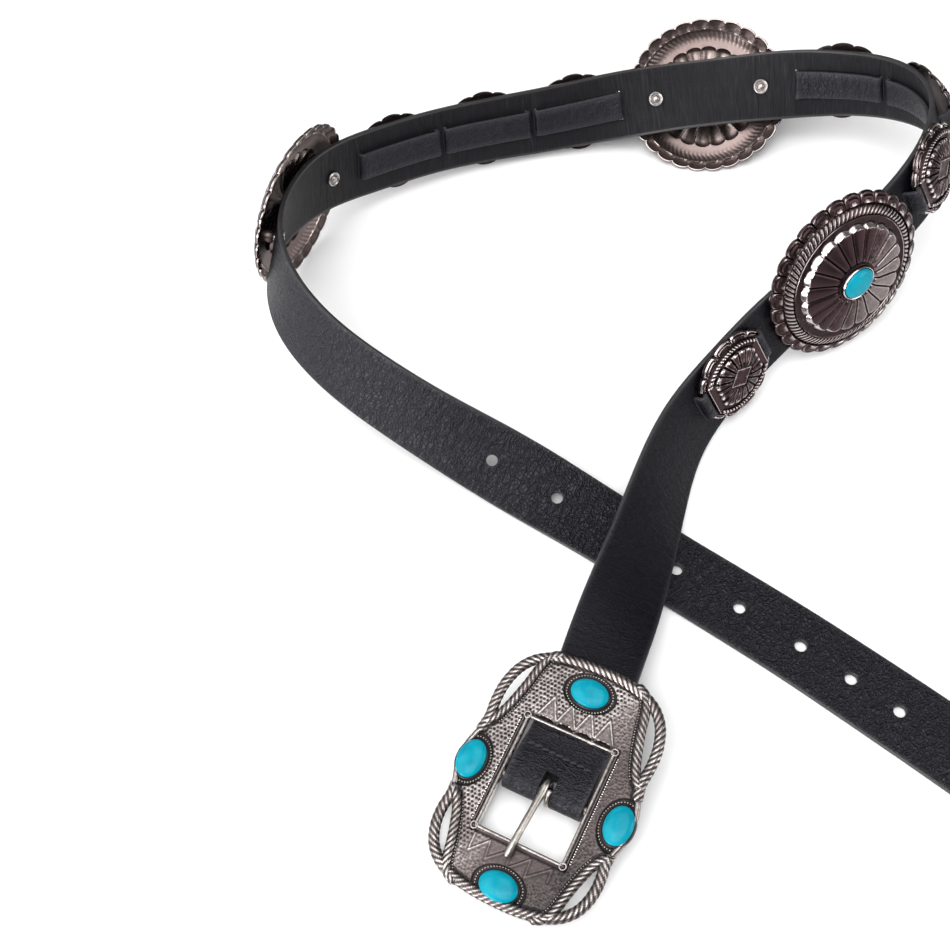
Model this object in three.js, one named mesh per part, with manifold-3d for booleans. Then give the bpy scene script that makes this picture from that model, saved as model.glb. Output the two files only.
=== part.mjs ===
// Western belt with conchos: a long grained leather strap, doubled round the
// centre bar of a rope-edged buckle, with three large domed conchos screwed
// on and seven small ones laced on.  Millimetres, +Z up, floor at z = 0.
import * as THREE from 'three';
import { mergeVertices } from 'three/addons/utils/BufferGeometryUtils.js';
import Module from 'manifold-3d';

const wasm = await Module();
wasm.setup();

// ---------------------------------------------------------------- sizes (mm)
const STRAP_W = 28;            // width of the strap
const STRAP_T = 2;             // thickness of the leather
const GAP = 0.3;               // clearance between pieces that touch
const PITCH = 25;              // distance between the rows of PATH
const STRAP_STEP = 5.6;        // distance between the strap's sections
const TAIL_END = 985;          // length of the strap, bar to tip
const TAIL_ROUND = 14;         // length of the rounded tip

// The strap as it lies: centre line every 25 mm from the buckle's bar, and
// lean, the angle of its width from level, in degrees, seen along the strap.
const PATH_COLUMNS = ['x', 'y', 'z', 'lean'];
const PATH = [
  [17.8, -127.3, 6.0, -5], [29.8, -105.5, 9.5, -5], [39.8, -82.7, 12.3, -3],
  [49.6, -59.7, 13.4, 18], [59.0, -36.6, 13.3, 35], [67.8, -13.2, 12.3, 46],
  [78.6, 9.3, 12.6, 56], [94.3, 28.4, 16.2, 63], [112.1, 45.0, 21.6, 65],
  [131.2, 59.5, 28.5, 69], [150.7, 73.1, 36.3, 68], [168.9, 88.7, 43.3, 64],
  [182.7, 109.0, 47.2, 62], [186.6, 133.3, 45.1, 71], [176.4, 154.4, 37.6, 91],
  [156.6, 166.8, 30.5, 110], [132.9, 171.8, 25.9, 132], [108.2, 173.0, 22.6, 145],
  [83.3, 172.0, 20.6, 140], [58.4, 170.3, 17.8, 123], [33.7, 166.5, 16.3, 115],
  [9.5, 160.6, 17.5, 110], [-14.1, 152.6, 19.4, 108], [-36.2, 141.3, 22.4, 106],
  [-55.0, 125.5, 28.4, 97], [-68.1, 104.8, 33.4, 84], [-72.8, 80.7, 36.8, 74],
  [-67.4, 56.5, 36.4, 66], [-53.0, 36.5, 32.2, 62], [-34.0, 21.5, 25.9, 59],
  [-13.5, 9.7, 18.0, 53], [7.6, -1.2, 10.2, 36], [28.5, -13.7, 4.9, 15],
  [48.9, -28.0, 2.3, 4], [68.8, -43.1, 1.3, 0], [88.5, -58.5, 1.0, 0],
  [107.9, -74.2, 1.0, 0], [126.9, -90.5, 1.0, 0], [145.7, -107.0, 1.0, 0],
  [164.3, -123.7, 1.0, 0], [182.9, -140.3, 1.0, 0],
];

// Punched holes of the tail, distance from the bar.
const HOLE_D = 4.2;
const HOLES = [773.6, 801.3, 827.4, 851.7, 877.5, 902.0, 921.8, 940.5];

// Conchos in their order from the buckle: kind and distance from the bar.
const CONCHO_COLUMNS = ['kind', 'at'];
const CONCHOS = [
  ['small', 178.0], ['large', 236.0], ['small', 291.5], ['small', 332.0],
  ['small', 372.5], ['large', 428.0], ['small', 483.5], ['small', 524.0],
  ['small', 564.4], ['large', 620.0],
];

// Large concho: a thin dome, oval along the strap.
const LARGE_A = 33.5, LARGE_B = 31.8;      // half length, half width
const LARGE_SHELL = 0.9;                   // thickness of the metal
const LARGE_SCALLOPS = 28;
const LARGE_PETALS = 20;
const LARGE_PROFILE_COLUMNS = ['rho', 'h'];
const LARGE_PROFILE = [[1.0, 0.9], [0.89, 2.9], [0.80, 4.8], [0.71, 5.4],
  [0.66, 6.9], [0.34, 8.8], [0.22, 9.2]];
const SCREW_AT = 22.2;                     // screws either side of the middle
const SCREW_HEAD_R = 3.1, SCREW_HEAD_H = 1.3, SCREW_R = 1.2;
const POST_R = 2.4;
const LARGE_STONE_A = 6.4, LARGE_STONE_B = 5.3, LARGE_STONE_H = 2.2;

// Small concho: a scalloped plate with a raised lens and a slot at each end.
const SMALL_A = 16.6, SMALL_B = 15.6;
const SMALL_SHELL = 0.9;
const SMALL_SCALLOPS = 10;                 // five on each long side
const SMALL_PROFILE_COLUMNS = ['rho', 'h'];
const SMALL_PROFILE = [[1.0, 0.9], [0.86, 2.0], [0.78, 3.0], [0.68, 2.9],
  [0.60, 3.5], [0.28, 4.5]];
const SLOT_AT = 14.6, SLOT_W = 2.3, SLOT_L = 11.8;
const LACE_W = 11, LACE_T = 1.6;
const SLIT_AT = 18.1, SLIT_W = 2.4, SLIT_L = 12.0;
const BACK_N = -STRAP_T / 2 - 0.7 - LACE_T / 2; // lace behind the strap

// Buckle: u across the strap, v along it towards the strap, n to the front.
const PLATE_BACK = -1.7, PLATE_FRONT = 0.7;
const WINDOW_U = 14.8;                     // half width of the window
const WINDOW_TOP = 19.5, WINDOW_LOW = 18.6; // its ends above and below the bar
const RIM_W = 1.1, RIM_FRONT = 1.5;
const BAR_R = 1.9, BAR_N = -2.2;
const ROPE_R = 1.5, INNER_ROPE_R = 1.35, ROPE_SIDES = 6;
const PLY_N = -3.4;                        // strap behind the frame
const FOLD_LENGTH = 38;                    // strap doubled back behind itself
const PRONG_SLOT_W = 6.4, PRONG_SLOT_V = 6.5;
const PRONG_R = 1.3, PRONG_EYE_R = 3.5;
const STONE_A = 6.55, STONE_B = 4.7, STONE_H = 2.3;
const STONE_SEAT = 0.5;
const STONE_COLUMNS = ['name', 'u', 'v', 'along'];
const STONES = [['top', 0, 34.8, 'u'], ['bottom', 0, -33.3, 'u'],
  ['left', -26.2, -0.6, 'v'], ['right', 26.2, -0.6, 'v']];

// Colour, roughness and metalness of each kind of surface.
const FINISH_COLUMNS = ['colour', 'roughness', 'metalness'];
const FINISH = {
  leather: [0x0d0d0f, 0.5, 0],
  lace: [0x0b0b0d, 0.55, 0],
  buckle: [0x8f8984, 0.3, 1],
  concho: [0x6b625e, 0.32, 1],
  wire: [0xb4aea8, 0.2, 1],
  screw: [0xa7a19b, 0.25, 1],
  stone: [0x1aa9c4, 0.12, 0],
};

// One quarter of the buckle's outer edge, the eye between its two ropes, and
// the centre line of the inner rope; all are mirrored to the other corners.
const EDGE_COLUMNS = ['u', 'v'];
const EDGE = [[0, 43.6], [5, 43.5], [10, 43.0], [15, 42.0], [19.5, 40.4],
  [23.5, 37.7], [26.7, 33.8], [28.7, 29.0], [29.6, 24.0], [29.6, 19.0],
  [29.1, 14.5], [29.5, 11.0], [30.7, 7.0], [31.6, 3.2]];
const EYE = [[20.7, 36.2], [21.3, 31.5], [22.4, 26.0], [23.7, 20.8],
  [25.2, 16.4], [26.5, 20.0], [26.8, 25.0], [25.9, 30.0], [23.6, 34.4]];
const INNER_ROPE = [[13.6, 41.6], [16.4, 40.2], [18.3, 37.6], [19.4, 33.6],
  [20.4, 28.6], [21.7, 23.6], [23.2, 18.8], [25.2, 14.6], [28.2, 11.4]];
// The frame reaches a little further above the bar than below it.
const ABOVE = 1.025, BELOW = 0.925;
const fitted = ([u, v]) => [u, v * (v > 0 ? ABOVE : BELOW)];

// ------------------------------------------------------------ small helpers
const V = (x, y, z) => new THREE.Vector3(x, y, z);
const rad = THREE.MathUtils.degToRad;
const range = (n) => Array.from({ length: n }, (_, i) => i);
const norm2 = ([x, y]) => { const l = Math.hypot(x, y) || 1; return [x / l, y / l]; };

// Natural cubic through equally spaced values; returns value at u in rows.
function spline(values) {
  const n = values.length, m = new Array(n).fill(0), c = [], d = [];
  for (let i = 1; i < n - 1; i++) {
    const r = 6 * (values[i + 1] - 2 * values[i] + values[i - 1]);
    const w = 4 - (i > 1 ? c[i - 1] : 0);
    c[i] = 1 / w;
    d[i] = (r - (i > 1 ? d[i - 1] : 0)) / w;
  }
  for (let i = n - 2; i > 0; i--) m[i] = d[i] - c[i] * m[i + 1];
  return (u) => {
    const i = Math.min(n - 2, Math.max(0, Math.floor(u)));
    const t = u - i, q = 1 - t;
    return q * values[i] + t * values[i + 1]
      + ((q ** 3 - q) * m[i] + (t ** 3 - t) * m[i + 1]) / 6;
  };
}
const track = PATH_COLUMNS.map((_, k) => spline(PATH.map((row) => row[k])));
const point = (s) => V(track[0](s / PITCH), track[1](s / PITCH), track[2](s / PITCH));

// Frame on the strap at s: x along it, y across it, z out of its front.
function strapFrame(s) {
  const x = point(s + 0.5).sub(point(s - 0.5)).normalize();
  const level = V(0, 0, 1).cross(x).normalize();
  const up = x.clone().cross(level);
  const lean = rad(track[3](s / PITCH));
  const y = level.multiplyScalar(Math.cos(lean)).addScaledVector(up, Math.sin(lean));
  const z = x.clone().cross(y).normalize();
  return new THREE.Matrix4().makeBasis(x, y, z).setPosition(point(s));
}
const at = (frame, x, y, z) => V(x, y, z).applyMatrix4(frame);
const inverse = (frame) => frame.clone().invert();
// Frame b seen from frame a.
const seenFrom = (a, b) => inverse(a).multiply(b);
const axisY = (frame) => V(0, 0, 0).setFromMatrixColumn(frame, 1);

// -------------------------------------------------- solids and their meshes
function toSolid(geometry, frame) {
  let g = geometry.clone();
  if (frame) g.applyMatrix4(frame);
  g.deleteAttribute('normal');
  g.deleteAttribute('uv');
  g = mergeVertices(g, 1e-4);
  const index = g.index.array, kept = [];
  for (let i = 0; i < index.length; i += 3) {
    const [a, b, c] = [index[i], index[i + 1], index[i + 2]];
    if (a !== b && b !== c && c !== a) kept.push(a, b, c);
  }
  return new wasm.Manifold(new wasm.Mesh({
    numProp: 3,
    vertProperties: new Float32Array(g.attributes.position.array),
    triVerts: new Uint32Array(kept),
  }));
}
function toGeometry(manifold) {
  const m = manifold.getMesh();
  const g = new THREE.BufferGeometry();
  const positions = new Float32Array(m.triVerts.length * 3);
  m.triVerts.forEach((v, i) => {
    for (let k = 0; k < 3; k++) positions[3 * i + k] = m.vertProperties[v * m.numProp + k];
  });
  g.setAttribute('position', new THREE.BufferAttribute(positions, 3));
  g.computeVertexNormals();
  return g;
}
function piece(parent, name, geometry, finish, frame) {
  const [color, roughness, metalness] = FINISH[finish];
  const mesh = new THREE.Mesh(geometry, new THREE.MeshStandardMaterial({ color, roughness, metalness }));
  mesh.name = name;
  if (frame) frame.decompose(mesh.position, mesh.quaternion, mesh.scale);
  parent.add(mesh);
  return mesh;
}
function placedGroup(parent, frame) {
  const g = new THREE.Group();
  if (frame) frame.decompose(g.position, g.quaternion, g.scale);
  parent.add(g);
  return g;
}

// Prism of a flat outline from height low to height high.
function prism(outline, low, high) {
  const shape = new THREE.Shape(outline.map(([x, y]) => new THREE.Vector2(x, y)));
  return new THREE.ExtrudeGeometry(shape, { depth: high - low, bevelEnabled: false, steps: 1 })
    .translate(0, 0, low);
}
const ellipse = (a, b, sides) => range(sides).map((i) => {
  const w = 2 * Math.PI * i / sides;
  return [a * Math.cos(w), b * Math.sin(w)];
});
function block([x0, y0, z0], [x1, y1, z1]) {
  return new THREE.BoxGeometry(x1 - x0, y1 - y0, z1 - z0)
    .translate((x0 + x1) / 2, (y0 + y1) / 2, (z0 + z1) / 2);
}
// Round rod between two points.
function rod(a, b, r, sides) {
  const d = b.clone().sub(a);
  const turn = new THREE.Quaternion().setFromUnitVectors(V(0, 1, 0), d.clone().normalize());
  return new THREE.CylinderGeometry(r, r, d.length(), sides)
    .applyQuaternion(turn).translate(...a.clone().add(b).multiplyScalar(0.5).toArray());
}
// Round wire through a list of points.
function wire(points, r, sides, steps) {
  const round = new THREE.Shape(ellipse(r, r, sides).map(([x, y]) => new THREE.Vector2(x, y)));
  return new THREE.ExtrudeGeometry(round, { extrudePath: new THREE.CatmullRomCurve3(points), steps });
}
// Turned body about the z axis from rows of [radius, height], ends on the axis.
function turned(rows, sides) {
  return new THREE.LatheGeometry(rows.map(([r, h]) => new THREE.Vector2(r, h)), sides)
    .rotateX(Math.PI / 2);
}
// Oval cabochon: flat base at height 0, rounded top.
function cabochon(a, b, h) {
  return turned([[0, 0], [1, 0], [1, 0.3 * h], [0.87, 0.72 * h], [0.5, 0.96 * h], [0, h]], 20)
    .scale(a, b, 1);
}
// Skin over equal four-cornered sections, with flat ends.
function skin(sections) {
  const k = sections[0].length, positions = sections.flat().flatMap((p) => p.toArray()), index = [];
  for (let i = 0; i + 1 < sections.length; i++) {
    for (let j = 0; j < k; j++) {
      const a = i * k + j, b = i * k + (j + 1) % k;
      index.push(a, b, b + k, a, b + k, a + k);
    }
  }
  const last = (sections.length - 1) * k;
  for (let j = 1; j + 1 < k; j++) index.push(0, j + 1, j, last, last + j, last + j + 1);
  const g = new THREE.BufferGeometry();
  g.setAttribute('position', new THREE.Float32BufferAttribute(positions, 3));
  g.setIndex(index);
  return g;
}
const CORNERS4 = [[-1, -1], [1, -1], [1, 1], [-1, 1]];
// Flat strip through a list of { c, across }: middle point, direction across.
function strip(line, width, thick) {
  return skin(line.map(({ c, across }, i) => {
    const a = line[Math.max(0, i - 1)].c, b = line[Math.min(line.length - 1, i + 1)].c;
    const before = c.clone().sub(a).normalize(), after = b.clone().sub(c).normalize();
    const e1 = i === 0 ? after : before, e2 = i === line.length - 1 ? before : after;
    const along = e1.clone().add(e2).normalize();
    const out = along.clone().cross(across).normalize();
    const h = thick / 2 / Math.max(0.5, along.dot(e1));
    return CORNERS4.map(([w, q]) => c.clone().addScaledVector(across, w * width / 2)
      .addScaledVector(out, h * q));
  }));
}

const belt = new THREE.Group();
belt.name = 'western_belt';

// --------------------------------------------------- the buckle's own frame
// x across the strap (u), y along it towards the strap (v), z to the front.
const buckleFrame = (() => {
  const y = point(PITCH).sub(point(0)).normalize();
  const x = axisY(strapFrame(4)).negate();
  x.addScaledVector(y, -x.dot(y)).normalize();
  const z = x.clone().cross(y).normalize();
  return new THREE.Matrix4().makeBasis(x, y, z)
    .setPosition(point(0).addScaledVector(y, 2).addScaledVector(z, -PLY_N));
})();

// --------------------------------------------------------------- the strap
// Doubled end: [v, n] behind the frame, round the bar and under the top rail.
const WRAP_R = BAR_R + GAP + STRAP_T / 2;
const fold = [[FOLD_LENGTH, -6.3], [30, -6.1], [21, -5.9], [17, -5.2], [12, -4.3],
  [6, -4.9], [2, BAR_N - WRAP_R],
  ...range(9).map((i) => -rad(90 + 22.5 * i))
    .map((a) => [WRAP_R * Math.cos(a), BAR_N + WRAP_R * Math.sin(a)]),
  [3, 0.85], [7, 0.1], [12, -1.35], [16, -2.65], [18.5, -3.3], [21.5, PLY_N]];
const strapSections = fold.map((p, i) => {
  const a = fold[Math.max(0, i - 1)], b = fold[Math.min(fold.length - 1, i + 1)];
  const d = norm2([b[0] - a[0], b[1] - a[1]]), h = STRAP_T / 2;
  return CORNERS4.map(([w, q]) =>
    at(buckleFrame, -w * STRAP_W / 2, p[0] - d[1] * h * q, p[1] + d[0] * h * q));
});
const TIP_COLUMNS = ['back', 'width'];       // rounded tip: share of the width
const TIP = [[TAIL_ROUND, 1], [9, 0.93], [5, 0.78], [2.2, 0.58], [0.6, 0.34], [0, 0.12]];
const cuts = [];
for (let s = 26; s < TAIL_END - TAIL_ROUND - 1;) {
  cuts.push([s, 1]);
  const twist = Math.abs(track[3]((s + 5) / PITCH) - track[3](s / PITCH));
  s += twist > 2.2 ? STRAP_STEP * 0.6 : STRAP_STEP;
}
for (const [s, w] of [...cuts, ...TIP.map(([back, width]) => [TAIL_END - back, width])]) {
  const f = strapFrame(s);
  strapSections.push(CORNERS4.map(([y, z]) => at(f, 0, y * w * STRAP_W / 2, z * STRAP_T / 2)));
}
let strap = toSolid(skin(strapSections));
for (const s of HOLES) {
  strap = strap.subtract(toSolid(rod(V(0, 0, -4), V(0, 0, 4), HOLE_D / 2, 12), strapFrame(s)));
}
strap = strap.subtract(toSolid(block([-PRONG_SLOT_W / 2, -12, -12],
  [PRONG_SLOT_W / 2, PRONG_SLOT_V, 6]), buckleFrame));

// ------------------------------------------------------------- the conchos
// Height of a profile at rho, straight between its rows.
function height(profile, rho) {
  if (rho >= profile[0][0]) return profile[0][1];
  for (let i = 1; i < profile.length; i++) {
    if (rho >= profile[i][0]) {
      const [r1, h1] = profile[i - 1], [r2, h2] = profile[i];
      return h2 + (h1 - h2) * (rho - r2) / (r1 - r2);
    }
  }
  return profile[profile.length - 1][1];
}
// Rows kept for the under skin: every second one inside the rim.
const underRows = (profile) => profile.filter((_, i) =>
  i === 0 || i === profile.length - 1 || i % 2 === 1);
// How low the rim may sit on the bent strap so that nothing touches.
function seat(s, a, b, profile, shell, halfRun) {
  const f = strapFrame(s);
  let lift = -20;
  for (let t = -halfRun; t <= halfRun; t += 1.5) {
    for (const w of [-1, -0.5, 0, 0.5, 1]) {
      const q = at(inverse(f), ...at(strapFrame(s + t), 0, w * STRAP_W / 2, STRAP_T / 2).toArray());
      const rho = Math.hypot(q.x / a, q.y / b);
      if (rho > 1.06) continue;
      const under = rho > 0.97 ? 0 : Math.max(0, height(underRows(profile), rho + 0.03) - shell - 0.15);
      lift = Math.max(lift, q.z + 1.4 * GAP - under);
    }
  }
  return lift;
}
// Scalloped dome: a turned shell whose rows are drawn out to the scallops.
// Each scallop has a number of steps; x is cut straight beyond endAt.
function dome(a, b, profile, shell, scallops, steps, depth, endAt, petals) {
  const under = underRows(profile);
  const rows = [[0, profile[profile.length - 1][1] - shell],
    ...under.slice().reverse().map(([rho, h]) => (rho === 1 ? [1, Math.max(0, h - shell - 0.9)]
      : [0.985 * rho, Math.max(0, h - shell)])),
    ...profile, [0, profile[profile.length - 1][1]]];
  const g = turned(rows, scallops * steps);
  const p = g.attributes.position;
  for (let i = 0; i < p.count; i++) {
    const r = Math.hypot(p.getX(i), p.getY(i));
    const w = Math.atan2(p.getY(i), p.getX(i)) + (steps % 2) * Math.PI / (scallops * steps);
    let edge = 1;
    if (r > 0.999) edge += depth * (Math.abs(Math.cos(scallops * w / 2)) - 0.5);
    if (petals && Math.abs(r - petals.rho) < 1e-4) edge += petals.depth * Math.abs(Math.cos(petals.count * w / 2));
    let x = a * r * edge * Math.cos(w);
    if (endAt && Math.abs(x) > endAt) x = Math.sign(x) * endAt;
    p.setXY(i, x, b * r * edge * Math.sin(w));
  }
  return g;
}

const made = { large: 0, small: 0 };
for (const [kind, s] of CONCHOS) {
  const f = strapFrame(s);
  const name = `${kind}_${++made[kind]}`;
  const unit = placedGroup(belt, f);
  if (kind === 'large') {
    const lift = seat(s, LARGE_A, LARGE_B, LARGE_PROFILE, LARGE_SHELL, 36);
    const top = LARGE_PROFILE[LARGE_PROFILE.length - 1][1];
    let body = toSolid(dome(LARGE_A, LARGE_B, LARGE_PROFILE, LARGE_SHELL, LARGE_SCALLOPS, 2,
      0.035, 0, { rho: LARGE_PROFILE[4][0], count: LARGE_PETALS, depth: 0.03 }));
    // low bezel with a seat for the stone
    body = body.add(toSolid(prism(ellipse(LARGE_STONE_A + 0.9, LARGE_STONE_B + 0.9, 20), top - 0.6, top + 0.6)));
    body = body.subtract(toSolid(prism(ellipse(LARGE_STONE_A + GAP, LARGE_STONE_B + GAP, 20), top, top + 3)));
    for (const [letter, side] of [['a', -1], ['b', 1]]) {
      // the screw stands square to the strap where it passes through it
      const g = strapFrame(s + side * SCREW_AT);
      const local = seenFrom(f, g);
      const rise = V(0, 0, -lift);
      const inBody = local.clone().premultiply(new THREE.Matrix4().setPosition(rise));
      const foot = STRAP_T / 2 + GAP;
      let reach = foot;
      for (; reach < 14; reach += 0.1) {
        const q = at(inBody, 0, 0, reach);
        if (q.z > height(LARGE_PROFILE, Math.hypot(q.x / LARGE_A, q.y / LARGE_B)) - LARGE_SHELL + 0.35) break;
      }
      const bore = Math.min(reach - 0.9, foot + 2.4);
      body = body.add(toSolid(rod(V(0, 0, foot + 0.2), V(0, 0, reach), POST_R, 10), inBody));
      body = body.subtract(toSolid(rod(V(0, 0, -1), V(0, 0, bore), SCREW_R + 1.35 * GAP, 8), inBody));
      strap = strap.subtract(toSolid(rod(V(0, 0, -5), V(0, 0, 5), SCREW_R + 1.35 * GAP, 8), g));
      const length = STRAP_T / 2 + GAP + 0.25 + bore - GAP;
      piece(unit, `concho_${name}_screw_${letter}`, turned([[0, -SCREW_HEAD_H], [0.42 * SCREW_HEAD_R, -SCREW_HEAD_H],
        [0.8 * SCREW_HEAD_R, -0.95], [SCREW_HEAD_R, -0.45], [SCREW_HEAD_R, 0], [SCREW_R, 0],
        [SCREW_R, length], [0, length]], 12), 'screw',
      local.clone().multiply(new THREE.Matrix4().setPosition(0, 0, -STRAP_T / 2 - GAP - 0.25)));
    }
    piece(unit, `concho_${name}`, toGeometry(body), 'concho', new THREE.Matrix4().setPosition(0, 0, lift));
    piece(unit, `concho_${name}_stone`, cabochon(LARGE_STONE_A, LARGE_STONE_B, LARGE_STONE_H), 'stone',
      new THREE.Matrix4().setPosition(0, 0, lift + top + GAP));
  } else {
    const lift = seat(s, SMALL_A, SMALL_B, SMALL_PROFILE, SMALL_SHELL, 18);
    let body = toSolid(dome(SMALL_A + 1.4, SMALL_B, SMALL_PROFILE, SMALL_SHELL, SMALL_SCALLOPS, 3, 0.07, SMALL_A));
    for (const side of [-1, 1]) {
      body = body.subtract(toSolid(block([side * SLOT_AT - SLOT_W / 2, -SLOT_L / 2, -3],
        [side * SLOT_AT + SLOT_W / 2, SLOT_L / 2, 8])));
      strap = strap.subtract(toSolid(block([-SLIT_W / 2, -SLIT_L / 2, -4], [SLIT_W / 2, SLIT_L / 2, 4]),
        strapFrame(s + side * SLIT_AT)));
    }
    piece(unit, `concho_${name}`, toGeometry(body), 'concho', new THREE.Matrix4().setPosition(0, 0, lift));
    // lace: up through a slit, over the end, down the slot; and the same back
    const cross = V(0, 1, 0);
    const onStrap = (t, n) => {
      const g = seenFrom(f, strapFrame(s + t));
      return { c: at(g, 0, 0, n), across: axisY(g) };
    };
    const end = (side) => [
      ...[[0, 1.9], [0, 3.2], [0.5, 4.1], [1.6, 4.35], [2.9, 3.8]]
        .map(([t, n]) => ({ c: V(side * (SLOT_AT + t), 0, lift + n), across: cross })),
      ...[STRAP_T / 2 + 0.4, 0, BACK_N].map((n) => onStrap(side * SLIT_AT, n))];
    const run = range(6).map((i) => onStrap(-13 + 5.2 * i, BACK_N));
    piece(unit, `lace_${made.small}`,
      strip([...end(-1), ...run, ...end(1).reverse()], LACE_W, LACE_T), 'lace');
  }
}
piece(belt, 'strap', toGeometry(strap), 'leather');

// -------------------------------------------------------------- the buckle
const buckle = placedGroup(belt, buckleFrame);
// Quarter rows to the whole outline, clockwise from the top.
const mirrored = (rows) => [...rows, ...rows.map(([u, v]) => [u, -v]).reverse(),
  ...rows.map(([u, v]) => [-u, -v]), ...rows.map(([u, v]) => [-u, v]).reverse()]
  .filter(([u, v], i, all) => {
    const [pu, pv] = all[(i + all.length - 1) % all.length];
    return Math.hypot(u - pu, v - pv) > 0.05;
  });
const inset = (rows, d) => rows.map((p, i) => {
  const a = rows[(i + rows.length - 1) % rows.length], b = rows[(i + 1) % rows.length];
  const t = norm2([b[0] - a[0], b[1] - a[1]]);
  return [p[0] + t[1] * d, p[1] - t[0] * d];
});
const windowBox = (d) => [[-WINDOW_U - d, -WINDOW_LOW - d], [WINDOW_U + d, -WINDOW_LOW - d],
  [WINDOW_U + d, WINDOW_TOP + d], [-WINDOW_U - d, WINDOW_TOP + d]];
const outline = mirrored(EDGE).map(fitted);
let casting = toSolid(prism(inset(outline, 0.7), PLATE_BACK, PLATE_FRONT));
// outer rope in two runs that share both ends
const ropeLine = inset(outline, ROPE_R).map(([u, v]) => V(u, v, 0));
const half = ropeLine.length / 2;
for (const start of [0, half]) {
  const run = range(half + 2).map((i) => ropeLine[(start + i) % ropeLine.length]);
  casting = casting.add(toSolid(wire(run, ROPE_R, ROPE_SIDES, half)));
}
const quarters = [[1, 1], [1, -1], [-1, -1], [-1, 1]];
for (const [su, sv] of quarters) {
  const line = INNER_ROPE.map(([u, v]) => fitted([su * u, sv * v])).map(([u, v]) => V(u, v, 0.35));
  casting = casting.add(toSolid(wire(line, INNER_ROPE_R, ROPE_SIDES, INNER_ROPE.length)));
}
casting = casting.add(toSolid(prism(windowBox(RIM_W), -1, RIM_FRONT)));
casting = casting.subtract(toSolid(prism(windowBox(0), -6, 6)));
for (const [su, sv] of quarters) {
  casting = casting.subtract(toSolid(prism(EYE.map(([u, v]) => fitted([su * u, sv * v])), -6, 6)));
}
casting = casting.add(toSolid(rod(V(-WINDOW_U - 2.6, 0, BAR_N), V(WINDOW_U + 2.6, 0, BAR_N), BAR_R, 16)));
for (const [name, u, v, along] of STONES) {
  const [a, b] = along === 'u' ? [STONE_A, STONE_B] : [STONE_B, STONE_A];
  const centre = new THREE.Matrix4().setPosition(u, v, 0);
  casting = casting.add(toSolid(prism(ellipse(a + 1.2, b + 1.2, 20), -1, PLATE_FRONT + 0.5), centre));
  casting = casting.subtract(toSolid(prism(ellipse(a + GAP, b + GAP, 20), PLATE_FRONT - STONE_SEAT, 6), centre));
  piece(buckle, `buckle_stone_${name}`, cabochon(a, b, STONE_H), 'stone',
    new THREE.Matrix4().setPosition(u, v, PLATE_FRONT - STONE_SEAT + GAP));
}
piece(buckle, 'buckle_frame', toGeometry(casting), 'buckle');

// ---------------------------------------------------------------- the prong
// An eye round the bar and a slightly bent shank resting on the lower rail;
// placed by the middle of the bar, which it turns about.
const REST_N = RIM_FRONT + GAP + PRONG_R - BAR_N;
let prong = toSolid(new THREE.TorusGeometry(PRONG_EYE_R, PRONG_R, 10, 18).rotateY(Math.PI / 2));
prong = prong.add(toSolid(wire([[0.6, PRONG_EYE_R], [-3, PRONG_EYE_R + 0.55], [-9, 4.75], [-15, 5.3],
  [-20.3, REST_N + 0.15], [-24, REST_N - 0.25]].map(([v, n]) => V(0, v, n)), PRONG_R, 10, 8)));
piece(buckle, 'buckle_prong', toGeometry(prong), 'wire', new THREE.Matrix4().setPosition(0, 0, BAR_N));

// --------------------------- middle of the footprint at the origin, on z = 0
const bounds = new THREE.Box3().setFromObject(belt, true);
const middle = bounds.getCenter(V(0, 0, 0));
belt.position.set(-middle.x, -middle.y, -bounds.min.z);
belt.updateMatrixWorld(true);

export default belt;
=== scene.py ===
import bpy
import math
import numpy as np
from mathutils import Matrix, Vector
from mathutils.geometry import delaunay_2d_cdt


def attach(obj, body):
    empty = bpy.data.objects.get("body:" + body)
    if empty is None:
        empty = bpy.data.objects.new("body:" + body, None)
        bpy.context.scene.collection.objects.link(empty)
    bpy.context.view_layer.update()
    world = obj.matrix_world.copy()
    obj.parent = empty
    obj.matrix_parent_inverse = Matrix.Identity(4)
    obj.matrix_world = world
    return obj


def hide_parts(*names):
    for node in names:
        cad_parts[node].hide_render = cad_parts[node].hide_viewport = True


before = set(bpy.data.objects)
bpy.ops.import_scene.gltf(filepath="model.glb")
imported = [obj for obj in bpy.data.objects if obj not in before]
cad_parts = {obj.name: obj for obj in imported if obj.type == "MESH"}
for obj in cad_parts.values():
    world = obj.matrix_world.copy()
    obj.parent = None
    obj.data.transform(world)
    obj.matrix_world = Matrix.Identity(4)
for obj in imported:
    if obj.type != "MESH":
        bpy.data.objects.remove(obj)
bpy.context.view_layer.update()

MM = 0.001
PI = math.pi
rng = np.random.default_rng(7)

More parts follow.
